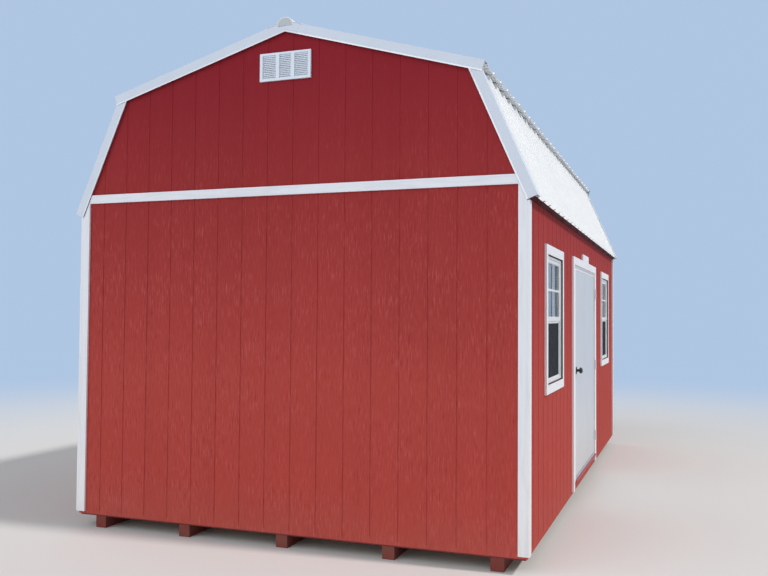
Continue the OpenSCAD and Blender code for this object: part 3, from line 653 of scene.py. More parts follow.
def build_ribbed_tree():
    """Ribbed roof sheet in the slope's frame: large ribs, two small ones in each pan, laps between sheets."""
    given, result = new_group("Ribbed Sheet", "GeometryNodeTree", {
        "Slope Length": 1.0, "Wall Length": 6.096, "Steps": 2000,
        "Rib Spacing": RIB_PITCH, "Rib Height": PAN_DEPTH - RIB_DEPTH, "Rib Base": 0.046, "Rib Top": 0.020,
        "Small Rib Height": 0.003, "Small Rib Base": 0.026, "Small Rib Top": 0.012,
        "Small Rib Offset": SMALL_RIB_OFFSET, "Ribs per Sheet": 4.0, "Lap Rise": 0.0012,
        "Lap Margin": 0.006, "Thickness": 0.0009, "Crease Angle": 0.5, "Material": None}, ["Geometry"])
    grid = given.add("GeometryNodeMeshGrid", {
        "Size X": given["Slope Length"], "Size Y": given["Wall Length"], "Vertices X": 2,
        "Vertices Y": given["Steps"] + 1.0})
    along = given.add("GeometryNodeInputPosition").axis("Y")

    def distance(value, spacing):
        """Signed distance from the nearest of a row of lines."""
        half = spacing * 0.5
        return value.calc("WRAP", half, half * -1.0)

    def rib(offset, kind):
        shape = abs(offset).ranged(given[f"{kind} Base"] * 0.5, given[f"{kind} Top"] * 0.5)
        return shape * given[f"{kind} Height"]

    spacing, thickness = given["Rib Spacing"], given["Thickness"]
    large = rib(distance(along, spacing), "Rib")
    from_middle = abs(distance(along + spacing * 0.5, spacing))
    small = rib(from_middle - given["Small Rib Offset"], "Small Rib")
    lap = distance(along, spacing * given["Ribs per Sheet"])
    half_base = given["Rib Base"] * 0.5
    lapped = (lap > half_base * -1.0) * (lap < half_base + given["Lap Margin"])
    rise = large + small + lapped * given["Lap Rise"]
    under = given.add("GeometryNodeSetPosition", {
        "Geometry": grid, "Offset": given.vector(z=rise - thickness)})
    over = given.add("GeometryNodeExtrudeMesh", {
        "Mesh": under, "Offset": given.vector(z=thickness), "Offset Scale": 1.0, "Individual": False})
    shell = given.add("GeometryNodeMergeByDistance", {
        "Geometry": joined(over, given.add("GeometryNodeFlipFaces", {0: under})), "Distance": 0.00001})
    smooth = given.add("GeometryNodeSetShadeSmooth", {"Geometry": shell, "Shade Smooth": True})
    angle = given.add("GeometryNodeInputMeshEdgeAngle")["Unsigned Angle"]
    creased = given.add("GeometryNodeSetShadeSmooth", {
        "Geometry": smooth, "Selection": angle > given["Crease Angle"], "Shade Smooth": False},
        domain="EDGE")
    finish_tree(creased, given, result)


def build_screen_tree():
    """Wire cloth in the X-Z plane: upright wires and level wires at one spacing."""
    given, result = new_group("Wire Cloth", "GeometryNodeTree", {
        "Width": 0.5, "Height": 0.5, "Spacing": 0.0016, "Wire": 0.0003, "Material": None}, ["Geometry"])
    spacing, wire = given["Spacing"], given["Wire"]

    def wires(reach, length, row, rod):
        """Rods of one length, in a row that reaches across the cloth."""
        count = given.add("FunctionNodeFloatToInt", {0: reach / spacing}, rounding_mode="FLOOR")
        line = given.add("GeometryNodeMeshLine", {
            "Count": count, "Start Location": given.vector(**{row: reach * -0.5}),
            "Offset": given.vector(**{row: spacing})}, mode="OFFSET")
        size = given.vector(**{"x": wire, "y": wire, "z": wire, rod: length})
        return given.add("GeometryNodeInstanceOnPoints", {
            "Points": line, "Instance": given.add("GeometryNodeMeshCube", {"Size": size})})

    width, height = given["Width"], given["Height"]
    finish_tree(joined(wires(width, height, "x", "z"), wires(height, width, "z", "x")), given, result)


# Places of the fasteners

def slope_places(rows, alongs, depth):
    """Places on both sides of the roof: rows are pairs of a slope's angle and distances down it."""
    return [on_slope(side, angle, down, along, depth)
            for side in (1, -1) for angle, downs in rows for down in downs for along in alongs]


def roof_screw_places():
    """Screws beside each large rib, in four rows on each slope."""
    rows = ((LOWER_ANGLE, (0.13, 0.42, 0.71, 0.965)), (UPPER_ANGLE, (-1.26, -0.86, -0.46, -0.06)))
    beside_rib = 0.035
    return slope_places(rows, [i * RIB_PITCH + beside_rib for i in range(-RIB_COUNT, RIB_COUNT)], PAN_DEPTH)


def ridge_screw_places():
    """Screws through the ridge cap into every rib."""
    from_ridge, cap_top = 0.122, -0.002
    down = (from_ridge - KNEE_X) / math.cos(UPPER_ANGLE)
    ribs = [i * RIB_PITCH for i in range(-RIB_COUNT, RIB_COUNT + 1)]
    return slope_places(((UPPER_ANGLE, (down,)),), ribs, cap_top)


def rake_screw_places():
    """Screws down through the flange of the folded trim into the outermost rib."""
    rows = ((LOWER_ANGLE, (0.12, 0.40, 0.68, 0.95)), (UPPER_ANGLE, (-1.20, -0.91, -0.62, -0.33, -0.04)))
    return [on_slope(side, angle, down, end * RIB_COUNT * RIB_PITCH, 0.0)
            for side in (1, -1) for end in (1, -1) for angle, downs in rows for down in downs]


def rake_rivet_places():
    """Rivets through the face of the folded trim where its lengths lap, and one between."""
    rake_face = END_Y + 0.0202
    rows = ((LOWER_ANGLE, 0.034, (0.55, 0.96)), (UPPER_ANGLE, 0.016, (0.028, -0.70)),
            (UPPER_ANGLE, 0.046, (0.028, -1.375)))
    return [(on_slope(side, angle, down, end * rake_face, depth)[0], Vector((0, end, 0)))
            for side in (1, -1) for end in (1, -1) for angle, depth, downs in rows for down in downs]


def nail_shows(wall, along, up):
    """Whether a nail in the siding misses the openings, with the boards round them, and the roof trim."""
    vent_half, vent_reach = 0.22, 0.12
    door_half, door_top = 0.94, 2.26
    window_half, window_low, window_top = 0.45, 1.07, 2.19
    slope_start, rake_depth = 1.3, 0.14
    if wall in GABLES:
        by_vent = abs(along) < vent_half and abs(up - VENT_Z) < vent_reach
        return not by_vent and (abs(along) <= slope_start or up <= lower_z(along, rake_depth))
    by_door = abs(along) < door_half and up < door_top
    by_window = abs(abs(along) - WINDOW_Y) < window_half and window_low < up < window_top
    return wall == "left" or not (by_door or by_window)


def siding_nail_places():
    """Nails through the panels into the studs: one at the foot, then rows up each panel."""
    places = []
    for wall in WALLS:
        reach, shift = (SIDE_X - 0.09, 0.0) if wall in GABLES else (END_Y - 0.09, 0.016)
        for along in (i * STUD_PITCH + shift for i in range(-8, 9)):
            ups = [SIDING_LOW + 0.034] + spread(0.42, 2.16, 0.29)
            if wall in GABLES:
                ups += spread(PANEL_JOINT + 0.10, upper_z(along, 0.16), 0.30)
            if abs(along) <= reach:
                places += [on_wall(wall, along, up) for up in ups if nail_shows(wall, along, up)]
    return places


def trim_nail_places():
    """Nails in the corner boards, the bands and the boards round the windows and the door."""
    band_pitch, window_jamb = 0.98 * STUD_PITCH, 0.398
    places = []
    for wall in GABLES:
        for side in (1, -1):
            places += [(wall, side * (SIDE_X - inset), up)
                       for up in spread(0.17, 2.42, 0.375) for inset in (0.022, 0.044)]
        places += [(wall, i * band_pitch, PANEL_JOINT + up) for i in range(-4, 5) for up in (-0.012, 0.028)]
    for wall in ("left", "right"):
        for side in (1, -1):
            places += [(wall, side * (END_Y - inset), up)
                       for up in spread(0.17, 2.16, 0.40) for inset in (0.004, 0.034)]
    for y in (WINDOW_Y, -WINDOW_Y):
        places += [("right", y + side * window_jamb, up)
                   for side in (1, -1) for up in spread(1.19, 2.07, 0.29)]
        places += [("right", y + along, up) for up in (1.124, 2.142) for along in spread(-0.36, 0.36, 0.24)]
    places += [("right", side * along, up)
               for side in (1, -1) for up in spread(0.19, 2.05, 0.31) for along in (0.852, 0.900)]
    places += [("right", along, up) for along in spread(-0.86, 0.86, 0.43) for up in (2.137, 2.175)]
    return [on_wall(*place, TRIM_THICKNESS) for place in places]


# Fittings, as lists of prisms: an outline in X and Z, its ends along Y, and the matrix that places it

def add_solid(name, prisms, material, body="building"):
    """Adds a piece made of closed prisms."""
    target = bmesh.new()
    for outline, low, high, turn in prisms:
        rings = [[target.verts.new(turn @ Vector((x, y, z))) for x, z in outline] for y in (low, high)]
        target.faces.new(rings[0])
        target.faces.new(reversed(rings[1]))
        add_band(target, rings[1], rings[0])
    return add_piece(name, closed_mesh(name, target), material, body)


def add_band(target, first, second):
    """Faces between two rings of vertices, one of which may be a single point."""
    count = max(len(first), len(second))
    for a in range(count):
        b = (a + 1) % count
        corners = (second[b % len(second)], second[a % len(second)],
                   first[a % len(first)], first[b % len(first)])
        target.faces.new(list(dict.fromkeys(corners)))


def closed_mesh(name, target):
    """Turns a bmesh's faces outwards and returns it as a mesh."""
    bmesh.ops.recalc_face_normals(target, faces=target.faces)
    mesh = bpy.data.meshes.new(name)
    target.to_mesh(mesh)
    target.free()
    return mesh


def axes(x, y, z, place=(0, 0, 0)):
    """Matrix that carries X, Y and Z to three directions, and the origin to a place."""
    return Matrix.Translation(place) @ Matrix((x, y, z)).transposed().to_4x4()


def mirrored(side):
    return Matrix.Diagonal((side, 1, 1, 1))


def round_outline(radius, middle=(0.0, 0.0), start=0, end=360, step=30):
    """Points on a circle from one angle to before another, in degrees."""
    return [(middle[0] + radius * math.cos(math.radians(a)), middle[1] + radius * math.sin(math.radians(a)))
            for a in range(start, end, step)]


def rafter_frames():
    """Middle of each rafter frame along the building, and which way its gusset plates face."""
    last = END_Y - SIDING_THICKNESS - RAFTER_HALF
    return [(last * (i / 5 - 1), -1 if i == 10 else 1) for i in range(11)]


def bend(lower_depth, upper_depth):
    """Point in X and Z where a depth below the lower slope meets one below the upper slope."""
    fall = math.tan(LOWER_ANGLE) - math.tan(UPPER_ANGLE)
    past = (upper_depth / math.cos(UPPER_ANGLE) - lower_depth / math.cos(LOWER_ANGLE)) / fall
    x = KNEE_X + past
    return x, upper_z(x, upper_depth)


def section(angle, down, depth):
    """Point in X and Z on the right-hand slope."""
    place = slope(1, angle) @ Vector((down, 0, -depth))
    return place.x, place.z


def gusset_prisms():
    """Plywood plates nailed over the rafters' joints at both roof breaks and at the ridge."""
    outer, inner, arm, half = RAFTER_DEPTH + 0.003, INNER_DEPTH - 0.003, 0.27, 0.30
    knee = [section(UPPER_ANGLE, -arm, outer), bend(outer, outer), section(LOWER_ANGLE, arm, outer),
            section(LOWER_ANGLE, arm, inner), section(UPPER_ANGLE, -arm, inner)]
    top = [(x, upper_z(x, depth)) for x, depth in (
        (-half, outer), (0.0, outer), (half, outer), (half, inner), (-half, inner))]
    plates = ((knee, 1), (knee, -1), (top, 1))
    return [(outline, *sorted((y + facing * GUSSET_BACK, y + facing * GUSSET_FACE)), mirrored(side))
            for y, facing in rafter_frames() for outline, side in plates]


def gusset_nail_places():
    """Nails round the edges of the gusset plates."""
    rows = ((UPPER_ANGLE, (-0.25, -0.17, -0.09)), (LOWER_ANGLE, (0.25, 0.17, 0.09)))
    points = []
    for depth in (0.050, 0.078, 0.104):
        points += [section(angle, down, depth) for angle, downs in rows for down in downs]
        points += [(x, upper_z(x, depth)) for x in (0.05, 0.16, 0.27)]
    return [(Vector((side * x, y + facing * (GUSSET_FACE + 0.0001), z)), Vector((0, facing, 0)))
            for y, facing in rafter_frames() for side in (1, -1) for x, z in points]


def knee_flashing_prisms():
    """Strip of sheet over the deck's bend, between the ends of the upper and lower roof sheets."""
    over, under, top, reach, end = 0.0194, 0.0209, 0.0214, 0.0262, END_Y - 0.003
    outline = [bend(under, top), bend(over, top), section(LOWER_ANGLE, reach, over),
               section(LOWER_ANGLE, reach, under)]
    return [(outline, -end, end, mirrored(side)) for side in (1, -1)]


def closure_prisms(angle, start, end):
    """Foam plugs cut to the ribs' hollows, across the ends of the sheets on one kind of slope. The large and
    the small plugs are given as half their width at the foot, half their width at the top, and the height of
    the top in the slope's frame."""
    large, small, floor = (0.0220, 0.0092, -0.0037), (0.0095, 0.0055, -0.0176), -0.0207
    plugs = [(i * RIB_PITCH, *large) for i in range(-RIB_COUNT, RIB_COUNT + 1)]
    plugs += [((i + 0.5) * RIB_PITCH + aside, *small)
              for i in range(-RIB_COUNT, RIB_COUNT) for aside in (-SMALL_RIB_OFFSET, SMALL_RIB_OFFSET)]
    outlines = [[(middle - base, floor), (middle + base, floor), (middle + top, high), (middle - top, high)]
                for middle, base, top, high in plugs]
    return [(outline, start, end, slope(side, angle) @ axes((0, 1, 0), (1, 0, 0), (0, 0, 1)))
            for side in (1, -1) for outline in outlines]


def weatherstrip_prisms():
    """Rounded seal on the door stops, round the head and both sides."""
    back, front = SIDE_X - 0.0430, SIDE_X - 0.0384
    edge, high, low, half = 0.782, 2.066, 0.214, 0.005
    outline = [(back, -half), (back + 0.0026, -half), (front - 0.0003, -0.0028), (front, 0.0),
               (front - 0.0003, 0.0028), (back + 0.0026, half), (back, half)]
    sides = [(outline, low, high, axes((1, 0, 0), (0, 0, 1), (0, side, 0), (0, side * (edge + 0.0045), 0)))
             for side in (1, -1)]
    head = Matrix.Translation((0, 0, high + 0.0065))
    return sides + [(outline, -edge - 0.009, edge + 0.009, head)]


def rounded_plate(turn, width, height, thickness, corner=0.004, holes=()):
    """Plate in X and Z with cut corners, from Y 0 to Y = thickness, with countersinks drawn on."""
    w, h = width / 2, height / 2
    outline = [(-w + corner, -h), (w - corner, -h), (w, -h + corner), (w, h - corner), (w - corner, h),
               (-w + corner, h), (-w, h - corner), (-w, -h + corner)]
    return [(outline, 0.0, thickness, turn)] + [
        (round_outline(0.0034, hole), thickness + 0.00005, thickness + 0.0006, turn) for hole in holes]


def latch_prisms():
    """Latch plate on the leaf's edge, with a bevelled bolt drawn back into it."""
    turn = axes((1, 0, 0), (0, -1, 0), (0, 0, 1), (LEAF_X, LEAF[0].y - 0.0002, PIVOTS["knob_turn"].z))
    bolt = [(-0.006, -0.012), (0.006, -0.012), (0.006, 0.012), (-0.006, 0.012)]
    return rounded_plate(turn, 0.025, 0.057, 0.0012, holes=((0, 0.021), (0, -0.021))) + [
        (bolt, 0.0013, 0.0030, turn)]


def strike_prisms():
    """Strike plate on the lock-side jamb, a rounded frame round the bolt's pocket."""
    jamb = -0.7928
    prisms = []
    for z in (0.0225, -0.0225):
        turn = Matrix.Translation((LEAF_X, jamb, PIVOTS["knob_turn"].z + z))
        prisms += rounded_plate(turn, 0.028, 0.0115, 0.0010, 0.002, holes=((0, 0),))
    for x in (0.0105, -0.0105):
        turn = Matrix.Translation((LEAF_X + x, jamb, PIVOTS["knob_turn"].z))
        prisms += rounded_plate(turn, 0.0068, 0.0332, 0.0010, 0.001)
    return prisms


def hinge_tip_mesh():
    """Ball tips on the ends of the hinge pins."""
    profile = ((0.0, 0.0003), (0.0052, 0.0003), (0.0058, 0.0015), (0.0048, 0.0033), (0.0026, 0.0045),
               (0.0, 0.0049))
    pin = PIVOTS["door_swing"]
    target = bmesh.new()
    for z in HINGE_Z:
        for end in (1, -1):
            rings = []
            for radius, height in profile:
                points = round_outline(radius, step=18) if radius else [(0.0, 0.0)]
                rings.append([target.verts.new((pin.x + x, pin.y + y, z + end * (0.0500 + height)))
                              for x, y in points])
            for first, second in zip(rings, rings[1:]):
                add_band(target, first, second)
    return closed_mesh("hinge_tips", target)


def hinge_screw_places(half):
    """Countersunk screws in one half of each hinge, in the plate's exposed face when the door stands open."""
    out, near, far = (-1, -0.004, -0.014) if half == "frame" else (1, -0.014, -0.004)
    face = PIVOTS["door_swing"].y - out * 0.0005
    return [(Vector((SIDE_X + x, face, z + up)), Vector((0, out, 0)))
            for z in HINGE_Z for x, up in ((near, 0.034), (far, 0.0), (near, -0.034))]


def key_cylinder_prisms():
    """Lock cylinder in the outer knob's face, its halves either side of an upright key slot. Its flat face is
    level with the middle of the knob's slightly domed one."""
    middle = (KNOB[0] + KNOB[1]) / 2
    place = axes((0, 1, 0), (1, 0, 0), (0, 0, 1), (KNOB[1].x, middle.y, middle.z))
    half = round_outline(0.0078, start=-84, end=85, step=12)
    return [([(side * x, z) for x, z in half], -0.0006, -0.00001, place) for side in (1, -1)]


def sash_lock_prisms():
    """Cam locks on the meeting rails inside, with their keepers."""
    keeper = [(-0.007, 0), (0.007, 0), (0.007, 0.006), (0.003, 0.010), (-0.003, 0.010), (-0.007, 0.006)]
    cam = [(-0.004, 0.0102), (0.004, 0.0102), (0.002, 0.0145), (-0.002, 0.0145)]
    places = [Matrix.Translation((SIDE_X - 0.0376, y + along, SASH_RAIL_Z))
              for y in (WINDOW_Y, -WINDOW_Y) for along in (-0.18, 0.18)]
    return [(outline, low, high, place)
            for place in places for outline, low, high in ((keeper, -0.028, 0.028), (cam, -0.006, 0.034))]


# Settings

def colour(name, description, default):
    return FloatVectorProperty(name=name, description=description, default=default,
                               subtype="COLOR", size=3, min=0.0, max=1.0)


def metres(name, description, default):
    return FloatProperty(name=name, description=description, default=default, min=0.0,
                         subtype="DISTANCE", unit="LENGTH", precision=4)


def amount(name, description, default):
    return FloatProperty(name=name, description=description, default=default, min=0.0)


def degrees(name, description, default):
    return FloatProperty(name=name, description=description, default=math.radians(default),
                         subtype="ANGLE", unit="ROTATION")


def direction(name, description, default):
    return FloatVectorProperty(name=name, description=description, default=default, subtype="DIRECTION")


class BarnPaint(bpy.types.PropertyGroup):
    """Colours of the barn, linear."""
    siding_red: colour("Siding red", "Paint of the panel siding up in the gables", (0.275, 0.018, 0.027))
    # Lighter than the gable red: painted bounce light near the ground.
    siding_bounce_lit: colour("Bounce-lit red", "Siding paint near the ground", (0.435, 0.061, 0.049))
    # Lighter than the paint: grain tone with a painted glint.
    siding_fleck_glint: colour("Siding fleck glint", "Siding paint on the raised grain, with a painted glint", (0.58, 0.135, 0.125))
    runner_red: colour("Runner red", "Paint of the skids", (0.17, 0.016, 0.017))
    # Painted shade: far darker than the siding's red, as under the eave.
    eave_shaded_red: colour("Eave shaded red", "Paint of the eave boards, darkened as painted shade", (0.080, 0.008, 0.010))
    # Painted shade on the boards' edges round the windows.
    edge_shade: colour("Edge shade", "Painted shade on the edges of the boards round the windows", (0.085, 0.075, 0.075))
    trim_white: colour("Trim white", "Paint of the trim boards", (0.86, 0.86, 0.885))
    roof_white: colour("Roof white", "Factory paint of the roof sheets", (0.85, 0.86, 0.87))
    # Painted shade: darker and bluer than the roof's white.
    rake_shaded_white: colour("Rake shaded white", "Factory paint of the folded roof trim, greyed and blued as painted shade", (0.72, 0.76, 0.83))
    # Painted highlight on the trim's lip and laps.
    lip_highlight_white: colour("Lip highlight", "Painted highlight on the lip and laps of the folded roof trim", (0.90, 0.91, 0.92))
    # Painted shade: a greyer white than the trim's.
    door_shaded_white: colour("Door shaded white", "Paint of the door leaf, greyed as painted shade", (0.60, 0.62, 0.66))
    vinyl_white: colour("Vinyl white", "Window frames", (0.78, 0.79, 0.80))
    vent_white: colour("Vent white", "Gable vents", (0.80, 0.84, 0.90))
    lumber_light: colour("Lumber light", "Early wood of the framing", (0.68, 0.50, 0.30))
    lumber_dark: colour("Lumber dark", "Late wood of the framing", (0.46, 0.29, 0.14))
    board_light: colour("Board light", "Light strands of the boards", (0.60, 0.42, 0.23))
    board_dark: colour("Board dark", "Dark strands of the boards", (0.33, 0.21, 0.10))
    dust: colour("Dust", "Dry soil on the lower walls", (0.40, 0.31, 0.23))


class BarnFittings(bpy.types.PropertyGroup):
    """Sizes of the roof's metal, the fasteners and the wire cloth."""
    sheet_thickness: metres("Sheet thickness", "Thickness of the roof sheets with their paint", 0.0009)
    lap_rise: metres("Lap rise", "How much the rib under a side lap stands higher", 0.0012)
    ribs_per_sheet: IntProperty(name="Ribs per sheet", description="Large ribs from one side lap to the next",
                                default=4, min=1)
    screw_radius: metres("Screw radius", "Half the width of a roof screw's head", 0.0045)
    washer_radius: metres("Washer radius", "Radius of a roof screw's washer", 0.0078)
    nail_radius: metres("Nail radius", "Radius of a nail's head", 0.0035)
    screen_spacing: metres("Screen spacing", "Distance between the wires of the window screens", 0.0016)
    screen_wire: metres("Screen wire", "Thickness of the window screens' wires", 0.0005)
    guard_spacing: metres("Guard spacing", "Distance between the wires behind the vents", 0.0064)
    guard_wire: metres("Guard wire", "Thickness of the wires behind the vents", 0.0009)


class BarnStage(bpy.types.PropertyGroup):
    """Camera, lamps and floor."""
    camera_place: FloatVectorProperty(name="Camera place", description="Where the camera stands",
                                      default=(2.7472, -8.4755, 1.6497), subtype="TRANSLATION", unit="LENGTH")
    camera_yaw: degrees("Camera yaw", "Turn to the left of straight ahead", 20.053)
    camera_pitch: degrees("Camera pitch", "Tilt above the horizon", 1.896)
    camera_roll: degrees("Camera roll", "Turn about the view axis", 0.397)
    image_width: FloatProperty(name="Image width", description="Pixels across the photograph",
                               default=768.0, min=1.0, subtype="PIXEL")
    focal_pixels: FloatProperty(name="Focal length", description="In pixels, at the image width above",
                                default=843.9, min=100.0, subtype="PIXEL")
    soft_light: amount("Soft light", "Strength of the even light from all round", 0.42)
    soft_color: colour("Soft light colour", "Tint of the even light from all round", (0.955, 0.98, 1.0))
    key_light: amount("Key light", "Strength of the lamp high over the door side", 1.93)
    key_color: colour("Key colour", "Tint of the key light", (1.0, 0.97, 0.92))
    key_spread: degrees("Key spread", "How wide the key lamp is, for soft shadows", 4.0)
    towards_key: direction("Key direction", "Direction towards the key lamp", (0.68, 0.03, 0.73))
    fill_light: amount("Fill light", "Strength of the broad lamp before the gable end", 1.3)
    fill_color: colour("Fill colour", "Tint of the fill light", (0.93, 0.965, 1.0))
    fill_spread: degrees("Fill spread", "How wide the fill lamp is", 75.0)
    towards_fill: direction("Fill direction", "Direction towards the fill lamp", (-0.30, -0.85, 0.43))
    floor_color: colour("Floor colour", "How the floor shows in the light near the barn", (0.70, 0.695, 0.69))
    backdrop: colour("Backdrop", "Colour behind the barn and of the floor far away", (0.43, 0.565, 0.765))


# Operators

class BARN_OT_siding(bpy.types.Operator):
    """Paint the grooved panel siding and set its nails"""
    bl_idname = "barn.siding"
    bl_label = "Siding"

    def execute(self, context):
        paint = siding_material(context.scene.barn_paint)
        dress(["front_siding", "front_gable_siding", "back_siding", "back_gable_siding", "left_siding",
               "right_siding_front", "right_siding_door_bay", "right_siding_back"], paint)
        add_nails("siding_nails", siding_nail_places(), context.scene.barn_fittings, paint)
        return {"FINISHED"}


class BARN_OT_boards(bpy.types.Operator):
    """Paint the trim boards, skids and eave boards"""
    bl_idname = "barn.boards"
    bl_label = "Boards"

    def execute(self, context):
        paint = context.scene.barn_paint
        level = (9.0, 9.5)  # Above the roof, so that no board counts as upright
        low, high = WINDOW[0].z - 0.0019, WINDOW[1].z + 0.0019
        window_half, door_head = 0.3664, 2.1203
        upright = board_paint_material("Upright trim paint", paint.trim_white, paint)
        dress(["front_left_corner_trim", "front_right_corner_trim", "back_left_corner_trim",
               "back_right_corner_trim", "door_frame"], upright)
        dress(["front_band", "back_band"],
              board_paint_material("Band paint", paint.trim_white, paint, upright=level))
        # The window boards' inner edges take painted shade.
        dress(["window_trims"],
              board_paint_material("Window trim paint", paint.trim_white, paint, upright=(low, high),
                                   shaded_edges=(WINDOW_Y, window_half, low, high)))
        dress(["door_trim"],
              board_paint_material("Door trim paint", paint.trim_white, paint, upright=(-9.0, door_head)))
        dress(["skids"],
              board_paint_material("Runner paint", paint.runner_red, paint, 0.2, upright=level, gloss=0.05))
        # The eave boards' near-black red is painted shade.
        dress(["left_eave_board", "right_eave_board"],
              board_paint_material("Eave shaded paint", paint.eave_shaded_red, paint, upright=level, gloss=0.03))
        add_nails("trim_nails", trim_nail_places(), context.scene.barn_fittings, upright)
        return {"FINISHED"}


class BARN_OT_frame(bpy.types.Operator):
    """Finish the lumber frame, floor and roof boards, and nail plates over the rafters' joints"""
    bl_idname = "barn.frame"
    bl_label = "Frame"

    def execute(self, context):
        paint = context.scene.barn_paint
        board = strand_board_material(paint)
        dress(["floor_joists", "front_wall_frame", "back_wall_frame", "left_wall_frame", "right_wall_frame",
               "left_rafters", "right_rafters"], timber_material(paint))
        dress(["floor_deck", "left_roof_deck", "right_roof_deck"], board)
        add_solid("rafter_gussets", gusset_prisms(), board)
        add_nails("gusset_nails", gusset_nail_places(), context.scene.barn_fittings,
                  bare_metal_material("Nail steel", (0.46, 0.46, 0.47), 0.45))
        return {"FINISHED"}


class BARN_OT_roof(bpy.types.Operator):
    """Lay the ribbed roof sheets, their closures and the folded trim"""
    bl_idname = "barn.roof"
    bl_label = "Roof"

    def execute(self, context):
        paint = context.scene.barn_paint
        fittings = context.scene.barn_fittings
        sheet = sheet_material("Roof sheet", paint.roof_white, 1.6, 0.1)
        for side, word in ((1, "right"), (-1, "left")):
            for kind, angle, (start, end) in (("lower", LOWER_ANGLE, LOWER_SHEET),
                                              ("upper", UPPER_ANGLE, UPPER_SHEET)):
                name = f"{word}_{kind}_ribbed_sheet"
                mesh = grow(name, "Ribbed Sheet", {
                    "Slope Length": end - start, "Wall Length": 2 * END_Y, "Lap Rise": fittings.lap_rise,
                    "Ribs per Sheet": float(fittings.ribs_per_sheet), "Thickness": fittings.sheet_thickness,
                    "Material": sheet})
                mesh.transform(slope(side, angle) @ Matrix.Translation(((start + end) / 2, 0, -PAN_DEPTH)))
                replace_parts(add_piece(name, mesh), f"{word}_{kind}_roof")
        # The ridge roll's end discs take painted shade.
        dress(["ridge_cap"], sheet_material("Ridge sheet", paint.roof_white, 1.6, 0.1, shaded_ends=True))
        # The trim's darker, bluer white is painted shade; its lighter lip is a painted highlight.
        dress(["front_rake_trim", "back_rake_trim"],
              sheet_material("Rake sheet", paint.rake_shaded_white, 3.0, 0.35, lip_highlight=paint.lip_highlight_white))
        add_solid("knee_flashing", knee_flashing_prisms(), sheet)
        foam = rough_material("Closure foam", (0.74, 0.72, 0.66), 260.0, 0.9, 0.0008, 1.2)
        ridge = UPPER_SHEET[0] + 0.004
        for name, angle, start, end in (
                ("knee_closures", UPPER_ANGLE, 0.028, 0.052), ("eave_closures", LOWER_ANGLE, 0.955, 0.980),
                ("ridge_closures", UPPER_ANGLE, ridge, ridge + 0.025)):
            add_solid(name, closure_prisms(angle, start, end), foam)
        return {"FINISHED"}


class BARN_OT_screws(bpy.types.Operator):
    """Drive the washer-head screws of the roof and its trim"""
    bl_idname = "barn.screws"
    bl_label = "Roof screws"

    def execute(self, context):
        fittings = context.scene.barn_fittings
        paint = sheet_material("Screw paint", context.scene.barn_paint.roof_white, 20.0, 0.1, 0.42)
        add_screws("roof_screws", roof_screw_places(), fittings, paint)
        add_screws("ridge_screws", ridge_screw_places(), fittings, paint)
        add_screws("rake_screws", rake_screw_places(), fittings, paint, 0.8)
        add_nails("rake_rivets", rake_rivet_places(), fittings, paint)
        return {"FINISHED"}


class BARN_OT_windows(bpy.types.Operator):
    """Finish the windows and gable vents, with their wire cloth and sash locks"""
    bl_idname = "barn.windows"
    bl_label = "Windows"

    def execute(self, context):
        paint = context.scene.barn_paint
        fittings = context.scene.barn_fittings
        vinyl = vinyl_material("White vinyl", paint.vinyl_white)
        dress(["front_window", "rear_window"], vinyl)
        dress(["front_vent", "back_vent"], vinyl_material("Vent vinyl", paint.vent_white))
        dress(["front_window_glass", "rear_window_glass"], glass_material())
        add_solid("sash_locks", sash_lock_prisms(), vinyl)
        fibre = rough_material("Screen fibre", (0.020, 0.020, 0.022), 900.0, 0.6, 0.0001)
        screen_x, screen_z = SIDE_X - 0.015, 1.3982
        for word, y in (("front", -WINDOW_Y), ("rear", WINDOW_Y)):
            place = Matrix.Translation((screen_x, y, screen_z)) @ Matrix.Rotation(math.pi / 2, 4, "Z")
            add_cloth(f"{word}_window_screen", (0.664, 0.416), fittings.screen_spacing,
                      fittings.screen_wire, fibre, place)
        wire = bare_metal_material("Guard wire", (0.40, 0.41, 0.42), 0.5)
        for word, side in (("front", -1), ("back", 1)):
            place = Matrix.Translation((0.0, side * (END_Y - 0.009), VENT_Z))
            add_cloth(f"{word}_vent_guard", (0.344, 0.141), fittings.guard_spacing, fittings.guard_wire,
                      wire, place)
        return {"FINISHED"}


class BARN_OT_door(bpy.types.Operator):
    """Finish the door leaf with its metalwork and seal"""
    bl_idname = "barn.door"
    bl_label = "Door"

    def execute(self, context):
        paint = context.scene.barn_paint
        steel = bare_metal_material("Latch steel", (0.52, 0.51, 0.50), 0.32)
        painted = sheet_material("Hinge paint", paint.vinyl_white, 20.0, 0.1)
        seal = rough_material("Seal", (0.34, 0.34, 0.35), 300.0, 0.75, 0.0003, 1.4)
        dress(["door_leaf"], door_material(paint))
        dress(["door_threshold"], threshold_material(paint))
        dress(["frame_hinges", "door_hinges"], painted)
        dress(["knob_roses", "door_knob"],
              rough_material("Black knob", (0.020, 0.020, 0.021), 160.0, 0.38, 0.0004))
        add_solid("weatherstrip", weatherstrip_prisms(), seal)
        add_solid("strike_plate", strike_prisms(), steel)
        add_solid("latch_plate", latch_prisms(), steel, "door")
        add_solid("key_cylinder", key_cylinder_prisms(), steel, "knob")
        add_piece("hinge_tips", hinge_tip_mesh(), painted)
        for half, body in (("frame", "building"), ("door", "door")):
            add_nails(f"{half}_hinge_screws", hinge_screw_places(half), context.scene.barn_fittings, steel,
                      body, 0.0004)
        return {"FINISHED"}


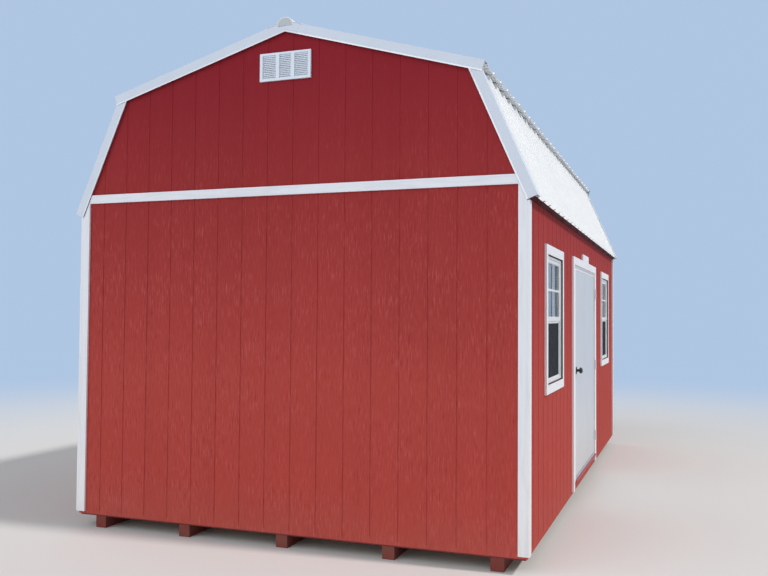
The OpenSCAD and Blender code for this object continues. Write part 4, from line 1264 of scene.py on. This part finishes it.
class BARN_OT_stage(bpy.types.Operator):
    """Make the floor, the lamps and the camera"""
    bl_idname = "barn.stage"
    bl_label = "Stage"

    def execute(self, context):
        stage = context.scene.barn_stage
        make_floor(stage)
        make_world(context.scene, stage)
        add_lamp("Key lamp", stage.towards_key, stage.key_light, stage.key_color, stage.key_spread)
        add_lamp("Fill lamp", stage.towards_fill, stage.fill_light, stage.fill_color, stage.fill_spread)
        make_camera(context.scene, stage)
        context.scene.view_settings.view_transform = "Standard"
        return {"FINISHED"}


def seen_directly(output):
    """1 for rays that show the background itself: camera, mirror and glass rays. The nodes go into the given
    output's tree."""
    path = output.add("ShaderNodeLightPath")
    mirrored_too = path["Is Camera Ray"].calc("MAXIMUM", path["Is Glossy Ray"])
    return mirrored_too.calc("MAXIMUM", path["Is Transmission Ray"])


def make_floor(stage):
    """A wide disc that keeps the barn's shadow and fades into the backdrop far away."""
    wide, color_fade, light_fade = 90.0, (3.0, 16.0), (6.0, 26.0)
    target = bmesh.new()
    bmesh.ops.create_circle(target, cap_ends=True, segments=96, radius=wide)
    mesh = bpy.data.meshes.new("floor")
    target.to_mesh(mesh)
    target.free()
    floor = bpy.data.objects.new("floor", mesh)
    bpy.context.scene.collection.objects.link(floor)
    key = stage.key_light * Vector(stage.towards_key).normalized().z / math.pi
    fill = stage.fill_light * Vector(stage.towards_fill).normalized().z / math.pi
    light = [soft * stage.soft_light + first * key + second * fill
             for soft, first, second in zip(stage.soft_color, stage.key_color, stage.fill_color)]
    near, far = (rgba([seen / lit for seen, lit in zip(shown, light)])
                 for shown in (stage.floor_color, stage.backdrop))
    material, sockets, place = blank_material("Floor", 1.0)
    sockets["Specular IOR Level"].default_value = 0.1
    toned, away = (place.length().ranged(*fade, interpolation_type="SMOOTHSTEP")
                   for fade in (color_fade, light_fade))
    toned.blend(near, far).into(sockets["Base Color"])
    plain = place.add("ShaderNodeEmission", {"Color": rgba(stage.backdrop), "Strength": 1.0})
    nodes = material.node_tree.nodes
    place.add("ShaderNodeMixShader", {
        0: away * seen_directly(place), 1: Output(nodes["Principled BSDF"].outputs[0]), 2: plain,
    }).into(nodes["Material Output"].inputs["Surface"])
    mesh.materials.append(material)


def make_world(scene, stage):
    """Even light from all round, seen as the backdrop."""
    scene.world = bpy.data.worlds.new("Soft light")
    scene.world.use_nodes = True
    nodes = scene.world.node_tree.nodes
    soft = Output(nodes["Background"].outputs[0])
    nodes["Background"].inputs["Color"].default_value = rgba(stage.soft_color)
    nodes["Background"].inputs["Strength"].default_value = stage.soft_light
    seen = soft.add("ShaderNodeBackground", {"Color": rgba(stage.backdrop), "Strength": 1.0})
    soft.add("ShaderNodeMixShader", {0: seen_directly(soft), 1: soft, 2: seen}).into(
        nodes["World Output"].inputs["Surface"])


def add_lamp(name, towards, strength, color, width):
    """A sun lamp in one direction; the wider its angle, the softer its shadows."""
    data = bpy.data.lights.new(name, "SUN")
    data.energy = strength
    data.angle = width
    data.color = color
    lamp = bpy.data.objects.new(name, data)
    towards = Vector(towards).normalized()
    lamp.rotation_euler = towards.to_track_quat("Z", "Y").to_euler()
    lamp.location = towards * LAMP_DISTANCE
    bpy.context.scene.collection.objects.link(lamp)


def make_camera(scene, stage):
    """The photograph's viewpoint and field of view."""
    data = bpy.data.cameras.new("Camera")
    data.lens = stage.focal_pixels / stage.image_width * data.sensor_width
    camera = bpy.data.objects.new("Camera", data)
    camera.matrix_world = (Matrix.Translation(stage.camera_place) @ Matrix.Rotation(stage.camera_yaw, 4, "Z")
                           @ Matrix.Rotation(math.radians(90.0) + stage.camera_pitch, 4, "X")
                           @ Matrix.Rotation(stage.camera_roll, 4, "Z"))
    scene.collection.objects.link(camera)
    scene.camera = camera


class BARN_PT_panel(bpy.types.Panel):
    """Lists the barn's settings and steps"""
    bl_idname = "BARN_PT_panel"
    bl_label = "Barn"
    bl_space_type = "VIEW_3D"
    bl_region_type = "UI"
    bl_category = "Barn"

    def draw(self, context):
        for name in SETTINGS:
            group = getattr(context.scene, name)
            for setting in group.__annotations__:
                self.layout.prop(group, setting)
        for step in OPERATORS:
            self.layout.operator(step.bl_idname)


OPERATORS = (BARN_OT_siding, BARN_OT_boards, BARN_OT_frame, BARN_OT_roof, BARN_OT_screws, BARN_OT_windows,
             BARN_OT_door, BARN_OT_stage)
SETTINGS = {"barn_paint": BarnPaint, "barn_fittings": BarnFittings, "barn_stage": BarnStage}
CLASSES = (*SETTINGS.values(), *OPERATORS, BARN_PT_panel)
EFFECTS = (build_grain_group, build_sawn_group, build_weather_group, build_sheet_group, build_strand_group,
           build_depth_group, build_screw_tree, build_nail_tree, build_ribbed_tree, build_screen_tree)


def register():
    for made in CLASSES:
        bpy.utils.register_class(made)
    for name, group in SETTINGS.items():
        setattr(bpy.types.Scene, name, PointerProperty(type=group))


def unregister():
    for name in SETTINGS:
        delattr(bpy.types.Scene, name)
    for made in reversed(CLASSES):
        bpy.utils.unregister_class(made)


def main():
    register()
    for build in EFFECTS:
        build()
    for step in OPERATORS:
        group, action = step.bl_idname.split(".")
        getattr(getattr(bpy.ops, group), action)()


if __name__ == "__main__":
    main()
